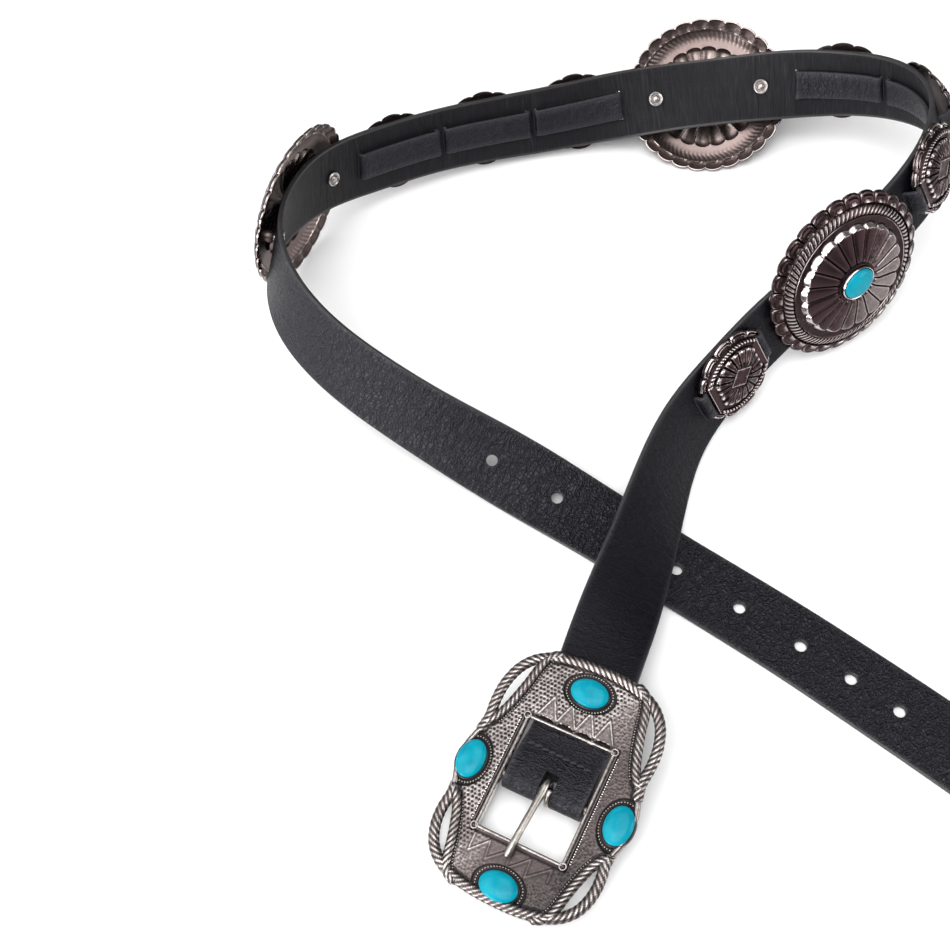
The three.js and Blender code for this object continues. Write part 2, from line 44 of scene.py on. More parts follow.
# ------------------------------------------------------------------ the route
# The strap's centre line as it lies, every 25 mm from the buckle's bar, and
# the angle of its width from level (the same table as the solid model's).
PITCH = 25.0
PATH = np.array([
    [17.8, -127.3, 6.0, -5], [29.8, -105.5, 9.5, -5], [39.8, -82.7, 12.3, -3],
    [49.6, -59.7, 13.4, 18], [59.0, -36.6, 13.3, 35], [67.8, -13.2, 12.3, 46],
    [78.6, 9.3, 12.6, 56], [94.3, 28.4, 16.2, 63], [112.1, 45.0, 21.6, 65],
    [131.2, 59.5, 28.5, 69], [150.7, 73.1, 36.3, 68], [168.9, 88.7, 43.3, 64],
    [182.7, 109.0, 47.2, 62], [186.6, 133.3, 45.1, 71], [176.4, 154.4, 37.6, 91],
    [156.6, 166.8, 30.5, 110], [132.9, 171.8, 25.9, 132], [108.2, 173.0, 22.6, 145],
    [83.3, 172.0, 20.6, 140], [58.4, 170.3, 17.8, 123], [33.7, 166.5, 16.3, 115],
    [9.5, 160.6, 17.5, 110], [-14.1, 152.6, 19.4, 108], [-36.2, 141.3, 22.4, 106],
    [-55.0, 125.5, 28.4, 97], [-68.1, 104.8, 33.4, 84], [-72.8, 80.7, 36.8, 74],
    [-67.4, 56.5, 36.4, 66], [-53.0, 36.5, 32.2, 62], [-34.0, 21.5, 25.9, 59],
    [-13.5, 9.7, 18.0, 53], [7.6, -1.2, 10.2, 36], [28.5, -13.7, 4.9, 15],
    [48.9, -28.0, 2.3, 4], [68.8, -43.1, 1.3, 0], [88.5, -58.5, 1.0, 0],
    [107.9, -74.2, 1.0, 0], [126.9, -90.5, 1.0, 0], [145.7, -107.0, 1.0, 0],
    [164.3, -123.7, 1.0, 0], [182.9, -140.3, 1.0, 0]], float)
SHIFT = np.array([-58.3994, -17.3141, 0.0311])     # to the object's own origin
STRAP_W, STRAP_T, TAIL_END, TAIL_ROUND = 28.0, 2.0, 985.0, 14.0
HOLE_R = 2.1
HOLES = [773.6, 801.3, 827.4, 851.7, 877.5, 902.0, 921.8, 940.5]
CONCHOS = [("small", 178.0), ("large", 236.0), ("small", 291.5), ("small", 332.0),
           ("small", 372.5), ("large", 428.0), ("small", 483.5), ("small", 524.0),
           ("small", 564.4), ("large", 620.0)]
GAP = 0.3


def second_derivatives(v):
    n = len(v)
    a = np.zeros((n, n)); r = np.zeros(n)
    a[0, 0] = a[-1, -1] = 1.0
    for i in range(1, n - 1):
        a[i, i - 1:i + 2] = (1, 4, 1)
        r[i] = 6 * (v[i + 1] - 2 * v[i] + v[i - 1])
    return np.linalg.solve(a, r)


TRACK = [(PATH[:, k], second_derivatives(PATH[:, k])) for k in range(4)]


def track(k, s):
    v, m = TRACK[k]
    u = np.asarray(s, float) / PITCH
    i = np.clip(np.floor(u).astype(int), 0, len(v) - 2)
    t = u - i
    q = 1 - t
    return q * v[i] + t * v[i + 1] + ((q ** 3 - q) * m[i] + (t ** 3 - t) * m[i + 1]) / 6


def unit(a):
    return a / np.linalg.norm(a, axis=-1, keepdims=True)


def point(s):
    return np.stack([track(0, s), track(1, s), track(2, s)], -1) + SHIFT


def strap_frames(s):
    """Middle point, and the directions along, across and out of the front."""
    s = np.atleast_1d(np.asarray(s, float))
    along = unit(point(s + 0.5) - point(s - 0.5))
    level = unit(np.cross(np.array([0, 0, 1.0]), along))
    up = np.cross(along, level)
    lean = np.radians(track(3, s))[:, None]
    across = level * np.cos(lean) + up * np.sin(lean)
    return point(s), along, across, unit(np.cross(along, across))


def frame_at(s):
    p, x, y, z = [v[0] for v in strap_frames(s)]
    return p, np.stack([x, y, z])          # rows are the directions


def put(fr, pts):
    """Local points to the object's frame, in millimetres."""
    return fr[0] + np.asarray(pts, float) @ fr[1]


# the buckle's own frame: u across, v along the strap, n to the front
PLY_N = -3.4
_y = unit(point(25.0) - point(0.0))
_x = -strap_frames(4.0)[2][0]
_x = unit(_x - _y * _x.dot(_y))
_z = np.cross(_x, _y)
BUCKLE = (point(0.0) + 2 * _y - PLY_N * _z, np.stack([_x, _y, _z]))


# ------------------------------------------------------------- mesh building
def make(name, verts, faces, mats, face_mat=None, attrs=None, sharp=40.0, ride="belt", replaces=(), slot=None):
    me = bpy.data.meshes.new(name)
    me.from_pydata((np.asarray(verts) * MM).tolist(), [], [list(map(int, f)) for f in faces] if not isinstance(faces, np.ndarray) else faces.tolist())
    for m in mats:
        me.materials.append(m)
    if face_mat is not None:
        me.polygons.foreach_set("material_index", np.asarray(face_mat, dtype=np.int32))
    for key, val in (attrs or {}).items():
        val = np.asarray(val, dtype=np.float32)
        if val.ndim == 1:
            me.attributes.new(key, "FLOAT", "POINT").data.foreach_set("value", val)
        else:
            me.attributes.new(key, "FLOAT_VECTOR", "POINT").data.foreach_set("vector", val.ravel())
    me.polygons.foreach_set("use_smooth", np.ones(len(me.polygons), dtype=bool))
    me.update()
    me.validate()
    if sharp:
        me.set_sharp_from_angle(angle=math.radians(sharp))
    ob = bpy.data.objects.new(name, me)
    bpy.context.scene.collection.objects.link(ob)
    if replaces:
        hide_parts(*replaces)
    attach(ob, ride)
    return ob


class Parts:
    """Gathers several bodies into one mesh, with attributes per point."""

    def __init__(self):
        self.v, self.f, self.m, self.a, self.n = [], [], [], {}, 0

    def add(self, verts, faces, mat=0, **attrs):
        verts = np.asarray(verts, float)
        self.v.append(verts)
        for f in faces:
            self.f.append([int(i) + self.n for i in f])
        self.m += [mat] * len(faces) if np.isscalar(mat) else list(mat)
        for k, val in attrs.items():
            val = np.asarray(val, float)
            if val.ndim == 0:
                val = np.full(len(verts), float(val))
            self.a.setdefault(k, []).append(val)
        self.n += len(verts)

    def make(self, name, mats, **kw):
        return make(name, np.concatenate(self.v), self.f, mats, self.m,
                    {k: np.concatenate(v) for k, v in self.a.items()}, **kw)


def grid_faces(rows, cols, closed_cols=True, closed_rows=False, flip=False):
    r = np.arange(rows if closed_rows else rows - 1)
    c = np.arange(cols if closed_cols else cols - 1)
    R, C = np.meshgrid(r, c, indexing="ij")
    R2, C2 = (R + 1) % rows, (C + 1) % cols
    q = np.stack([R * cols + C, R * cols + C2, R2 * cols + C2, R2 * cols + C], -1).reshape(-1, 4)
    return q[:, ::-1] if flip else q


def smooth01(x):
    x = np.clip(x, 0, 1)
    return x * x * (3 - 2 * x)


def bump(x, w):
    """Round bump of half width w about 0."""
    return np.clip(1 - (np.asarray(x) / w) ** 2, 0, 1) ** 1.5


def groove(x, w):
    return np.exp(-(np.asarray(x) / w) ** 2)


def resample(pts, step, closed=False):
    """Points at equal steps along a smooth curve through pts (2 or 3 columns)."""
    p = np.asarray(pts, float)
    if closed:
        ext = np.concatenate([p[-3:], p, p[:3]])
    else:
        ext = np.concatenate([[2 * p[0] - p[1]], p, [2 * p[-1] - p[-2]]])
    fine = []
    lo = 2 if closed else 0
    hi = len(ext) - 4 if closed else len(ext) - 3
    for i in range(lo, hi + (0 if closed else 0)):
        p0, p1, p2, p3 = ext[i], ext[i + 1], ext[i + 2], ext[i + 3]
        for t in np.linspace(0, 1, 24, endpoint=False):
            fine.append(0.5 * ((2 * p1) + (-p0 + p2) * t + (2 * p0 - 5 * p1 + 4 * p2 - p3) * t * t
                               + (-p0 + 3 * p1 - 3 * p2 + p3) * t ** 3))
    fine = np.array(fine + ([fine[0]] if closed else [p[-1]]))
    d = np.concatenate([[0], np.cumsum(np.linalg.norm(np.diff(fine, axis=0), axis=1))])
    n = max(3, int(round(d[-1] / step)))
    at = np.linspace(0, d[-1], n + 1)
    if closed:
        at = at[:-1]
    out = np.stack([np.interp(at, d, fine[:, k]) for k in range(fine.shape[1])], -1)
    return out, at, d[-1]


# ------------------------------------------------------------------ materials
def new_material(name):
    m = bpy.data.materials.new(name)
    m.use_nodes = True
    nt = m.node_tree
    nt.nodes.clear()
    out = nt.nodes.new("ShaderNodeOutputMaterial")
    bs = nt.nodes.new("ShaderNodeBsdfPrincipled")
    nt.links.new(bs.outputs[0], out.inputs[0])
    return m, nt, bs


class Net:
    """Small helpers to write a node tree line by line."""

    def __init__(self, nt):
        self.nt = nt

    def node(self, kind, **kw):
        n = self.nt.nodes.new(kind)
        for k, v in kw.items():
            setattr(n, k, v)
        return n

    def put(self, socket, value):
        if isinstance(value, bpy.types.NodeSocket):
            self.nt.links.new(value, socket)
        else:
            socket.default_value = value

    def math(self, op, a, b=0.0, c=None, clamp=False):
        n = self.node("ShaderNodeMath", operation=op, use_clamp=clamp)
        self.put(n.inputs[0], a)
        self.put(n.inputs[1], b)
        if c is not None:
            self.put(n.inputs[2], c)
        return n.outputs[0]

    def attr(self, name, vector=False):
        n = self.node("ShaderNodeAttribute", attribute_name=name)
        return n.outputs["Vector" if vector else "Fac"]

    def position(self):
        return self.node("ShaderNodeTexCoord").outputs["Object"]

    def scaled(self, vec, s):
        n = self.node("ShaderNodeVectorMath", operation="MULTIPLY")
        self.put(n.inputs[0], vec)
        self.put(n.inputs[1], s)
        return n.outputs[0]

    def noise(self, vec, scale, detail=2.0, rough=0.5, distortion=0.0):
        n = self.node("ShaderNodeTexNoise")
        self.put(n.inputs["Vector"], vec)
        n.inputs["Scale"].default_value = scale
        n.inputs["Detail"].default_value = detail
        n.inputs["Roughness"].default_value = rough
        n.inputs["Distortion"].default_value = distortion
        return n.outputs["Fac"]

    def voronoi(self, vec, scale, feature="F1", randomness=1.0, out="Distance", smooth=None):
        n = self.node("ShaderNodeTexVoronoi", feature=feature)
        self.put(n.inputs["Vector"], vec)
        n.inputs["Scale"].default_value = scale
        n.inputs["Randomness"].default_value = randomness
        if smooth is not None:
            n.inputs["Smoothness"].default_value = smooth
        return n.outputs[out]

    def ramp(self, fac, stops, interpolation="LINEAR"):
        n = self.node("ShaderNodeValToRGB")
        cr = n.color_ramp
        cr.interpolation = interpolation
        while len(cr.elements) < len(stops):
            cr.elements.new(0.5)
        for e, (pos, col) in zip(cr.elements, stops):
            e.position = pos
            e.color = (*col, 1) if len(col) == 3 else col
        self.put(n.inputs[0], fac)
        return n.outputs[0]

    def range(self, v, a, b, c, d, clamp=True):
        n = self.node("ShaderNodeMapRange", clamp=clamp)
        self.put(n.inputs[0], v)
        for i, x in zip((1, 2, 3, 4), (a, b, c, d)):
            n.inputs[i].default_value = x
        return n.outputs[0]

    def mix(self, fac, a, b):
        n = self.node("ShaderNodeMix", data_type="RGBA")
        self.put(n.inputs[0], fac)
        self.put(n.inputs[6], a)
        self.put(n.inputs[7], b)
        return n.outputs[2]

    def bump(self, height, strength, distance, normal=None):
        n = self.node("ShaderNodeBump")
        n.inputs["Strength"].default_value = strength
        n.inputs["Distance"].default_value = distance
        self.put(n.inputs["Height"], height)
        if normal is not None:
            self.put(n.inputs["Normal"], normal)
        return n.outputs[0]


def rgb(r, g, b):
    return (r, g, b, 1.0)


def leather_front(name="strap_leather_front", gloss=(0.12, 0.34)):
    """Black grain leather: pebbles drawn out across the strap, strongest on
    the tail (attribute grain), a thin satin top coat with a bluish cast."""
    m, nt, bs = new_material(name)
    k = Net(nt)
    pos = k.position()
    st = k.attr("st", vector=True)
    grain = k.attr("grain")
    warp = k.node("ShaderNodeVectorMath", operation="ADD")
    nz = k.node("ShaderNodeTexNoise")
    k.put(nz.inputs["Vector"], st)
    nz.inputs["Scale"].default_value = 0.42
    nz.inputs["Detail"].default_value = 3.0
    k.put(warp.inputs[0], st)
    k.put(warp.inputs[1], k.scaled(nz.outputs["Color"], (1.9, 1.9, 0.0)))
    p = warp.outputs[0]
    cells = k.voronoi(k.scaled(p, (0.98, 0.60, 0.0)), 1.0, "DISTANCE_TO_EDGE")
    pebble = k.range(cells, 0.0, 0.20, 0.0, 1.0)
    big = k.voronoi(k.scaled(p, (0.36, 0.15, 0.0)), 1.0, "DISTANCE_TO_EDGE")
    crease = k.range(big, 0.0, 0.075, 0.0, 1.0)
    fold_ = k.noise(k.scaled(p, (0.42, 0.11, 0.0)), 1.0, 3.0, 0.6, 0.3)
    lie = k.noise(pos, 38, 3.0, 0.55)
    fine = k.noise(pos, 2600, 3.0, 0.6)
    height = k.math("ADD", k.math("MULTIPLY", pebble, 0.55), k.math("MULTIPLY", crease, 0.75))
    height = k.math("ADD", height, k.math("MULTIPLY", fold_, 1.9))
    height = k.math("MULTIPLY", height, k.range(grain, 0.0, 1.0, 0.15, 1.35))
    height = k.math("ADD", height, k.math("MULTIPLY", fine, 0.16))
    height = k.math("ADD", height, k.math("MULTIPLY", lie, 0.7))
    wear_and_painted_light = k.attr("edge")
    tone = k.math("MULTIPLY", pebble, k.range(lie, 0.3, 0.7, 0.5, 1.0))
    col = k.mix(tone, rgb(0.0018, 0.0017, 0.0027), rgb(0.0046, 0.0042, 0.0068))
    # lighter worn edges; on the slit lips this is partly a painted highlight
    col = k.mix(k.math("MULTIPLY", wear_and_painted_light, 0.8), col, rgb(0.040, 0.038, 0.042))
    k.put(bs.inputs["Base Color"], col)
    rough = k.math("ADD", k.range(pebble, 0, 1, 0.54, 0.40), k.range(lie, 0.3, 0.7, 0.04, -0.04))
    k.put(bs.inputs["Roughness"], rough)
    k.put(bs.inputs["Specular IOR Level"], k.range(grain, 0.20, 0.50, *gloss))
    bs.inputs["Specular Tint"].default_value = (0.90, 0.88, 1.0, 1.0)
    bs.inputs["Coat Weight"].default_value = 0.03
    bs.inputs["Coat Roughness"].default_value = 0.34
    k.put(bs.inputs["Normal"], k.bump(height, 0.75, 0.00045))
    return m


def leather_back(name="strap_leather_back", along=True):
    """Brushed fibrous back, dark grey, with streaks across it (stronger where
    attribute pull says) or along it for the laces."""
    m, nt, bs = new_material(name)
    k = Net(nt)
    st = k.attr("st", vector=True)
    pull = k.attr("pull")
    cross = k.noise(k.scaled(st, (3.1, 0.13, 1.0)), 1.0, 4.0, 0.62, 0.6)
    length = k.noise(k.scaled(st, (0.10, 3.0, 1.0)), 1.0, 4.0, 0.62, 0.4)
    wide = k.noise(k.scaled(st, (1.0, 0.07, 1.0)), 1.0, 2.0, 0.5, 0.4)
    patch = k.noise(k.scaled(st, (0.05, 0.07, 1.0)), 1.0, 2.0, 0.5)
    pick = k.range(patch, 0.50, 0.66, 0.0, 0.6)
    mixn = k.node("ShaderNodeMix", data_type="FLOAT")
    k.put(mixn.inputs[0], pick)
    k.put(mixn.inputs[2], cross)
    k.put(mixn.inputs[3], length)
    fibre = mixn.outputs[0] if along else length
    if along:
        fibre = k.math("ADD", fibre, k.math("MULTIPLY", k.math("SUBTRACT", wide, 0.5), k.range(pull, 0, 1, 0.25, 1.1)))
    fuzz = k.noise(k.position(), 3200, 3.0, 0.65)
    f = 1.0 if along else 1.25
    col = k.ramp(fibre, [(0.25, (0.0022 * f, 0.0020 * f, 0.0029 * f)), (0.5, (0.0058 * f, 0.0052 * f, 0.0070 * f)),
                         (0.82, (0.019 * f, 0.0172 * f, 0.0205 * f))])
    # lighter worn edges; on the slit lips this is partly a painted highlight
    col = k.mix(k.math("MULTIPLY", k.attr("edge"), 0.55), col, rgb(0.042, 0.039, 0.041))
    k.put(bs.inputs["Base Color"], col)
    k.put(bs.inputs["Roughness"], k.range(fibre, 0.2, 0.8, 0.60, 0.44))
    bs.inputs["Specular IOR Level"].default_value = 0.17
    bs.inputs["Sheen Weight"].default_value = 0.03
    bs.inputs["Sheen Roughness"].default_value = 0.45
    h = k.math("ADD", fibre, k.math("MULTIPLY", fuzz, 0.35))
    k.put(bs.inputs["Normal"], k.bump(h, 0.7, 0.0003))
    return m


def leather_edge(name="strap_leather_edge"):
    """Cut and burnished edge: a little lighter, smooth, with faint layers."""
    m, nt, bs = new_material(name)
    k = Net(nt)
    st = k.attr("st", vector=True)
    layer = k.noise(k.scaled(st, (0.12, 3.5, 4.0)), 1.0, 3.0, 0.6)
    fine = k.noise(k.position(), 1800, 3.0, 0.6)
    col = k.ramp(layer, [(0.3, (0.010, 0.009, 0.010)), (0.7, (0.030, 0.028, 0.029))])
    k.put(bs.inputs["Base Color"], col)
    k.put(bs.inputs["Roughness"], k.range(fine, 0.3, 0.7, 0.38, 0.55))
    k.put(bs.inputs["Normal"], k.bump(k.math("ADD", layer, k.math("MULTIPLY", fine, 0.4)), 0.5, 0.00022))
    return m


def silver(name, bright, mid, dark, rough=(0.2, 0.5), scratch=1.0, blotch=1.0):
    """Antique silver plate: bright on what stands proud, dark in the recesses
    (attribute cav, 1 on the heights; on the buckle and large conchos cav also holds painted light and shade), with
    tarnish patches and fine wear."""
    m, nt, bs = new_material(name)
    k = Net(nt)
    cav = k.attr("cav")
    pos = k.position()
    patch = k.noise(pos, 75, 4.0, 0.6)
    speck = k.noise(pos, 900, 3.0, 0.65)
    loose = k.range(cav, 0.80, 0.95, 1.0, 0.08)          # the polished heights stay even
    tarnish = k.math("ADD", k.math("MULTIPLY", k.math("SUBTRACT", speck, 0.5), 0.55 * blotch),
                     k.math("MULTIPLY", k.math("SUBTRACT", patch, 0.5), 0.35 * blotch))
    grime = k.math("ADD", cav, k.math("MULTIPLY", tarnish, loose), clamp=True)
    shine = [min(0.93, c * 1.0 + 0.36) for c in bright]
    col = k.ramp(grime, [(0.0, dark), (0.32, [0.5 * (a + b) for a, b in zip(dark, mid)]), (0.58, mid), (0.86, bright), (0.98, shine)])
    warm = k.noise(pos, 40, 2.0, 0.5)
    col = k.mix(k.range(warm, 0.42, 0.62, 0.0, 0.35), col, k.mix(0.5, col, rgb(*[c * f for c, f in zip(mid, (1.08, 0.9, 0.93))])))
    k.put(bs.inputs["Base Color"], col)
    k.put(bs.inputs["Metallic"], k.range(grime, 0.0, 0.35, 0.55, 1.0))
    r = k.math("ADD", k.range(grime, 0.1, 0.85, rough[1], rough[0]), k.math("MULTIPLY", k.math("MULTIPLY", k.math("SUBTRACT", speck, 0.5), 0.2), loose))
    k.put(bs.inputs["Roughness"], r)
    wear = k.noise(k.scaled(pos, (1.0, 1.0, 0.35)), 1500, 4.0, 0.7)
    k.put(bs.inputs["Normal"], k.bump(k.math("MULTIPLY", k.math("ADD", wear, k.math("MULTIPLY", patch, 0.7)), k.range(loose, 0.0, 1.0, 0.35, 1.0)), 0.35 * scratch, 0.00006))
    return m


def turquoise():
    """Smooth blue stone paste with faint clouds and a hard gloss, and painted shade towards its foot."""
    m, nt, bs = new_material("turquoise")
    k = Net(nt)
    pos = k.position()
    cloud = k.noise(pos, 210, 4.0, 0.55, 0.4)
    vein = k.voronoi(pos, 240, "DISTANCE_TO_EDGE")
    col = k.ramp(cloud, [(0.28, (0.0015, 0.200, 0.275)), (0.5, (0.0020, 0.238, 0.318)), (0.74, (0.004, 0.285, 0.368))])
    col = k.mix(k.range(vein, 0.0, 0.02, 0.12, 0.0), col, rgb(0.006, 0.18, 0.24))
    # painted shade: the stone darkens towards its foot, where it meets its setting
    col = k.mix(k.math("SUBTRACT", 1.0, k.attr("cav"), clamp=True), col, rgb(0.004, 0.10, 0.14))
    k.put(bs.inputs["Base Color"], col)
    bs.inputs["Roughness"].default_value = 0.2
    bs.inputs["Specular IOR Level"].default_value = 0.11
    bs.inputs["Coat Weight"].default_value = 0.04
    bs.inputs["Coat Roughness"].default_value = 0.08
    k.put(bs.inputs["Normal"], k.bump(k.noise(pos, 420, 2.0, 0.5), 0.12, 0.00006))
    return m


def thread():
    m, nt, bs = new_material("stitch_thread")
    k = Net(nt)
    st = k.attr("st", vector=True)
    ply = k.node("ShaderNodeTexWave", wave_type="BANDS", bands_direction="DIAGONAL")
    k.put(ply.inputs["Vector"], st)
    ply.inputs["Scale"].default_value = 1.6
    col = k.mix(ply.outputs["Fac"], rgb(0.0015, 0.0014, 0.002), rgb(0.030, 0.028, 0.033))
    k.put(bs.inputs["Base Color"], col)
    bs.inputs["Roughness"].default_value = 0.75
    k.put(bs.inputs["Normal"], k.bump(ply.outputs["Fac"], 0.6, 0.0001))
    return m


M_FRONT, M_BACK, M_EDGE = leather_front(), leather_back(), leather_edge()
M_LACE = leather_front("lace_leather", (0.33, 0.33))
M_LACE_BACK = leather_back("lace_leather_back", along=False)
M_BUCKLE = silver("buckle_silver", (0.46, 0.43, 0.41), (0.135, 0.115, 0.112), (0.006, 0.0045, 0.0047), (0.24, 0.55))
M_CONCHO = silver("concho_silver", (0.41, 0.36, 0.345), (0.048, 0.028, 0.030), (0.0035, 0.0023, 0.0025), (0.2, 0.40), 1.0, 0.4)
M_HOLLOW = silver("concho_hollow", (0.56, 0.50, 0.46), (0.215, 0.168, 0.158), (0.012, 0.0085, 0.008), (0.26, 0.46), 1.0, 0.5)
M_WIRE = silver("prong_wire", (0.44, 0.42, 0.385), (0.21, 0.19, 0.175), (0.03, 0.025, 0.023), (0.30, 0.52), 1.2)
M_SCREW = silver("screw_metal", (0.62, 0.60, 0.57), (0.34, 0.31, 0.30), (0.03, 0.025, 0.025), (0.26, 0.5), 0.6)
M_STONE = turquoise()
M_THREAD = thread()


# ---------------------------------------------------------------- the strap
BAR_R, BAR_N, FOLD_LENGTH = 1.9, -2.2, 38.0
WRAP_R = BAR_R + GAP + STRAP_T / 2
SLOT_HALF = 3.2
fold = [[FOLD_LENGTH, -6.3], [30, -6.1], [21, -5.9], [17, -5.2], [12, -4.3], [6, -4.9], [2, BAR_N - WRAP_R]]
fold += [[WRAP_R * math.cos(-math.radians(90 + 22.5 * i)), BAR_N + WRAP_R * math.sin(-math.radians(90 + 22.5 * i))] for i in range(9)]
fold += [[3, 0.85], [7, 0.1], [12, -1.35], [16, -2.65], [18.5, -3.3], [21.5, PLY_N]]
fold = np.array(fold)


def strap_rows():
    """Every section of the strap: s, middle, across, out, half width."""
    fine, at, total = resample(fold, 0.8)
    d = unit(np.gradient(fine, axis=0))
    s_f = at - total + 23.5
    P = put(BUCKLE, np.stack([np.zeros(len(fine)), fine[:, 0], fine[:, 1]], -1))
    A = np.tile(-BUCKLE[1][0], (len(fine), 1))
    N = np.stack([np.zeros(len(fine)), -d[:, 1], d[:, 0]], -1) @ BUCKLE[1]
    # distance lines of the free length, square cells round each hole
    marks = [26.0]
    for h in HOLES:
        marks += [h - 5, h + 5]
    for kind, c in CONCHOS:
        for side in (-1, 1):
            marks += [c + side * 22.2 - 5, c + side * 22.2 + 5] if kind == "large" else [c + side * 18.1 - 0.95, c + side * 18.1 + 0.95]
    marks = sorted(marks) + [TAIL_END - TAIL_ROUND]
    lines = []
    for a, b in zip(marks[:-1], marks[1:]):
        n = 10 if abs(b - a - 10) < 1e-6 else max(2, int(round((b - a) / 1.25)))
        lines += list(np.linspace(a, b, n, endpoint=False))
    lines += list(TAIL_END - TAIL_ROUND * (1 - np.sin(np.linspace(0, PI / 2, 18)))[:-1])
    lines = np.array(lines)
    p, _, a, n = strap_frames(lines)
    back = np.clip(TAIL_END - lines, 0, TAIL_ROUND)
    tip = np.sqrt(np.clip(1 - ((TAIL_ROUND - back) / TAIL_ROUND) ** 2.2, 0.0009, 1))
    width = np.where(lines > TAIL_END - TAIL_ROUND, tip, 1.0)
    s = np.concatenate([s_f, lines])
    return s, np.concatenate([P, p]), np.concatenate([A, a]), np.concatenate([N, n]), np.concatenate([np.ones(len(s_f)), width]), len(s_f)


s_all, P_all, A_all, N_all, W_all, n_fold = strap_rows()
HW, HT = STRAP_W / 2, STRAP_T / 2
top_y = np.arange(-13.0, 13.01, 1.0)
# round corner of the cut edge, front and back, as (y, n) seen at +y
corner_front = [(13.45, 0.97), (13.75, 0.86), (13.93, 0.66), (14.0, 0.4)]
corner_back = [(14.0, -0.45), (13.94, -0.74), (13.78, -0.92), (13.45, -0.99)]
prof, kind_of = [], []
for y in top_y:
    prof.append((y, 1.0))
for y, n in corner_front + corner_back:
    prof.append((y, n))
for y in top_y[::-1]:
    prof.append((y, -1.0))
for y, n in corner_back[::-1]:
    prof.append((-y, n))
for y, n in corner_front[::-1]:
    prof.append((-y, n))
prof = np.array(prof)
K = len(prof)
NT_ = len(top_y)
j_front = np.arange(NT_)
j_back = np.arange(NT_ + 8, 2 * NT_ + 8)

rows = len(s_all)
yy = prof[:, 0][None, :] * W_all[:, None]
nn = np.repeat(prof[:, 1][None, :], rows, 0)
# leather is never quite even: slight swells between its two faces and edges
yy = yy * (1 - 0.0035 * np.abs(np.sin(s_all / 23.0))[:, None])


def grain_at(s):
    """How strong the grain is along the strap: most in the tail's run."""
    s = np.asarray(s, float)
    g = np.interp(s, [-60, 0, 24, 40, 60, 150, 600, 650, 700, 745, 790, 990],
                  [0.5, 0.5, 0.42, 0.22, 0.18, 0.18, 0.22, 0.34, 0.55, 0.85, 1.0, 1.0])
    return g


def undulation(s, y):
    """Soft unevenness of the leather, about -1 to 1."""
    out = np.zeros(np.broadcast(s, y).shape)
    r = np.random.default_rng(11)
    for _ in range(16):
        ks, ky = r.uniform(0.22, 1.15), r.uniform(-0.55, 0.55)
        out = out + np.sin(ks * s + ky * y + r.uniform(0, 6.28)) * (0.5 / (0.5 + ks))
    return out / 3.2


def marks_of_wear(s, y):
    """Crosswise pulls beside every slit, screw and hole."""
    out = np.zeros(np.broadcast(s, y).shape)
    for kind, c in CONCHOS:
        for side in (-1, 1):
            at_ = c + side * (22.2 if kind == "large" else 20.4)
            out = np.maximum(out, np.exp(-((s - at_) / (6.5 if kind == "large" else 3.4)) ** 2))
    return out


wave = undulation(s_all[:, None], yy)
lift_n = 0.055 * wave * (0.35 + 0.65 * grain_at(s_all)[:, None]) * np.clip((13.2 - np.abs(yy)) / 2.0, 0, 1)
nn = np.where(np.abs(nn) > 0.98, nn * (1 - 0.05 * (np.abs(yy) / HW) ** 6) + lift_n - 0.055 * np.sign(nn), nn)
verts = (P_all[:, None, :] + A_all[:, None, :] * yy[:, :, None] + N_all[:, None, :] * nn[:, :, None] * HT)
st = np.stack([np.repeat(s_all[:, None], K, 1), yy, nn], -1)
verts_l = [verts.reshape(-1, 3)]
st_l = [st.reshape(-1, 3)]
edge_l = [np.clip((np.abs(yy) - 12.6) / 1.4, 0, 1).reshape(-1)]
faces, fmat = [], []
skip = set()           # (row, column) cells that are cut away
n_verts = rows * K


def col_of(y, back=False):
    j = int(round(y + 13))
    return j if not back else NT_ + 8 + (NT_ - 1 - j)


def add_points(pts, stv, edge):
    global n_verts
    verts_l.append(np.asarray(pts, float).reshape(-1, 3))
    st_l.append(np.asarray(stv, float).reshape(-1, 3))
    edge_l.append(np.full(len(verts_l[-1]), float(edge)))
    start = n_verts
    n_verts += len(verts_l[-1])
    return start


def surface_point(i0, i1, s, y, n):
    """Point of the strap at s between two of its rows, by its own frames."""
    p, _, a, nrm = strap_frames(s)
    return p + a * np.asarray(y)[:, None] + nrm * (np.asarray(n) * HT)[:, None]


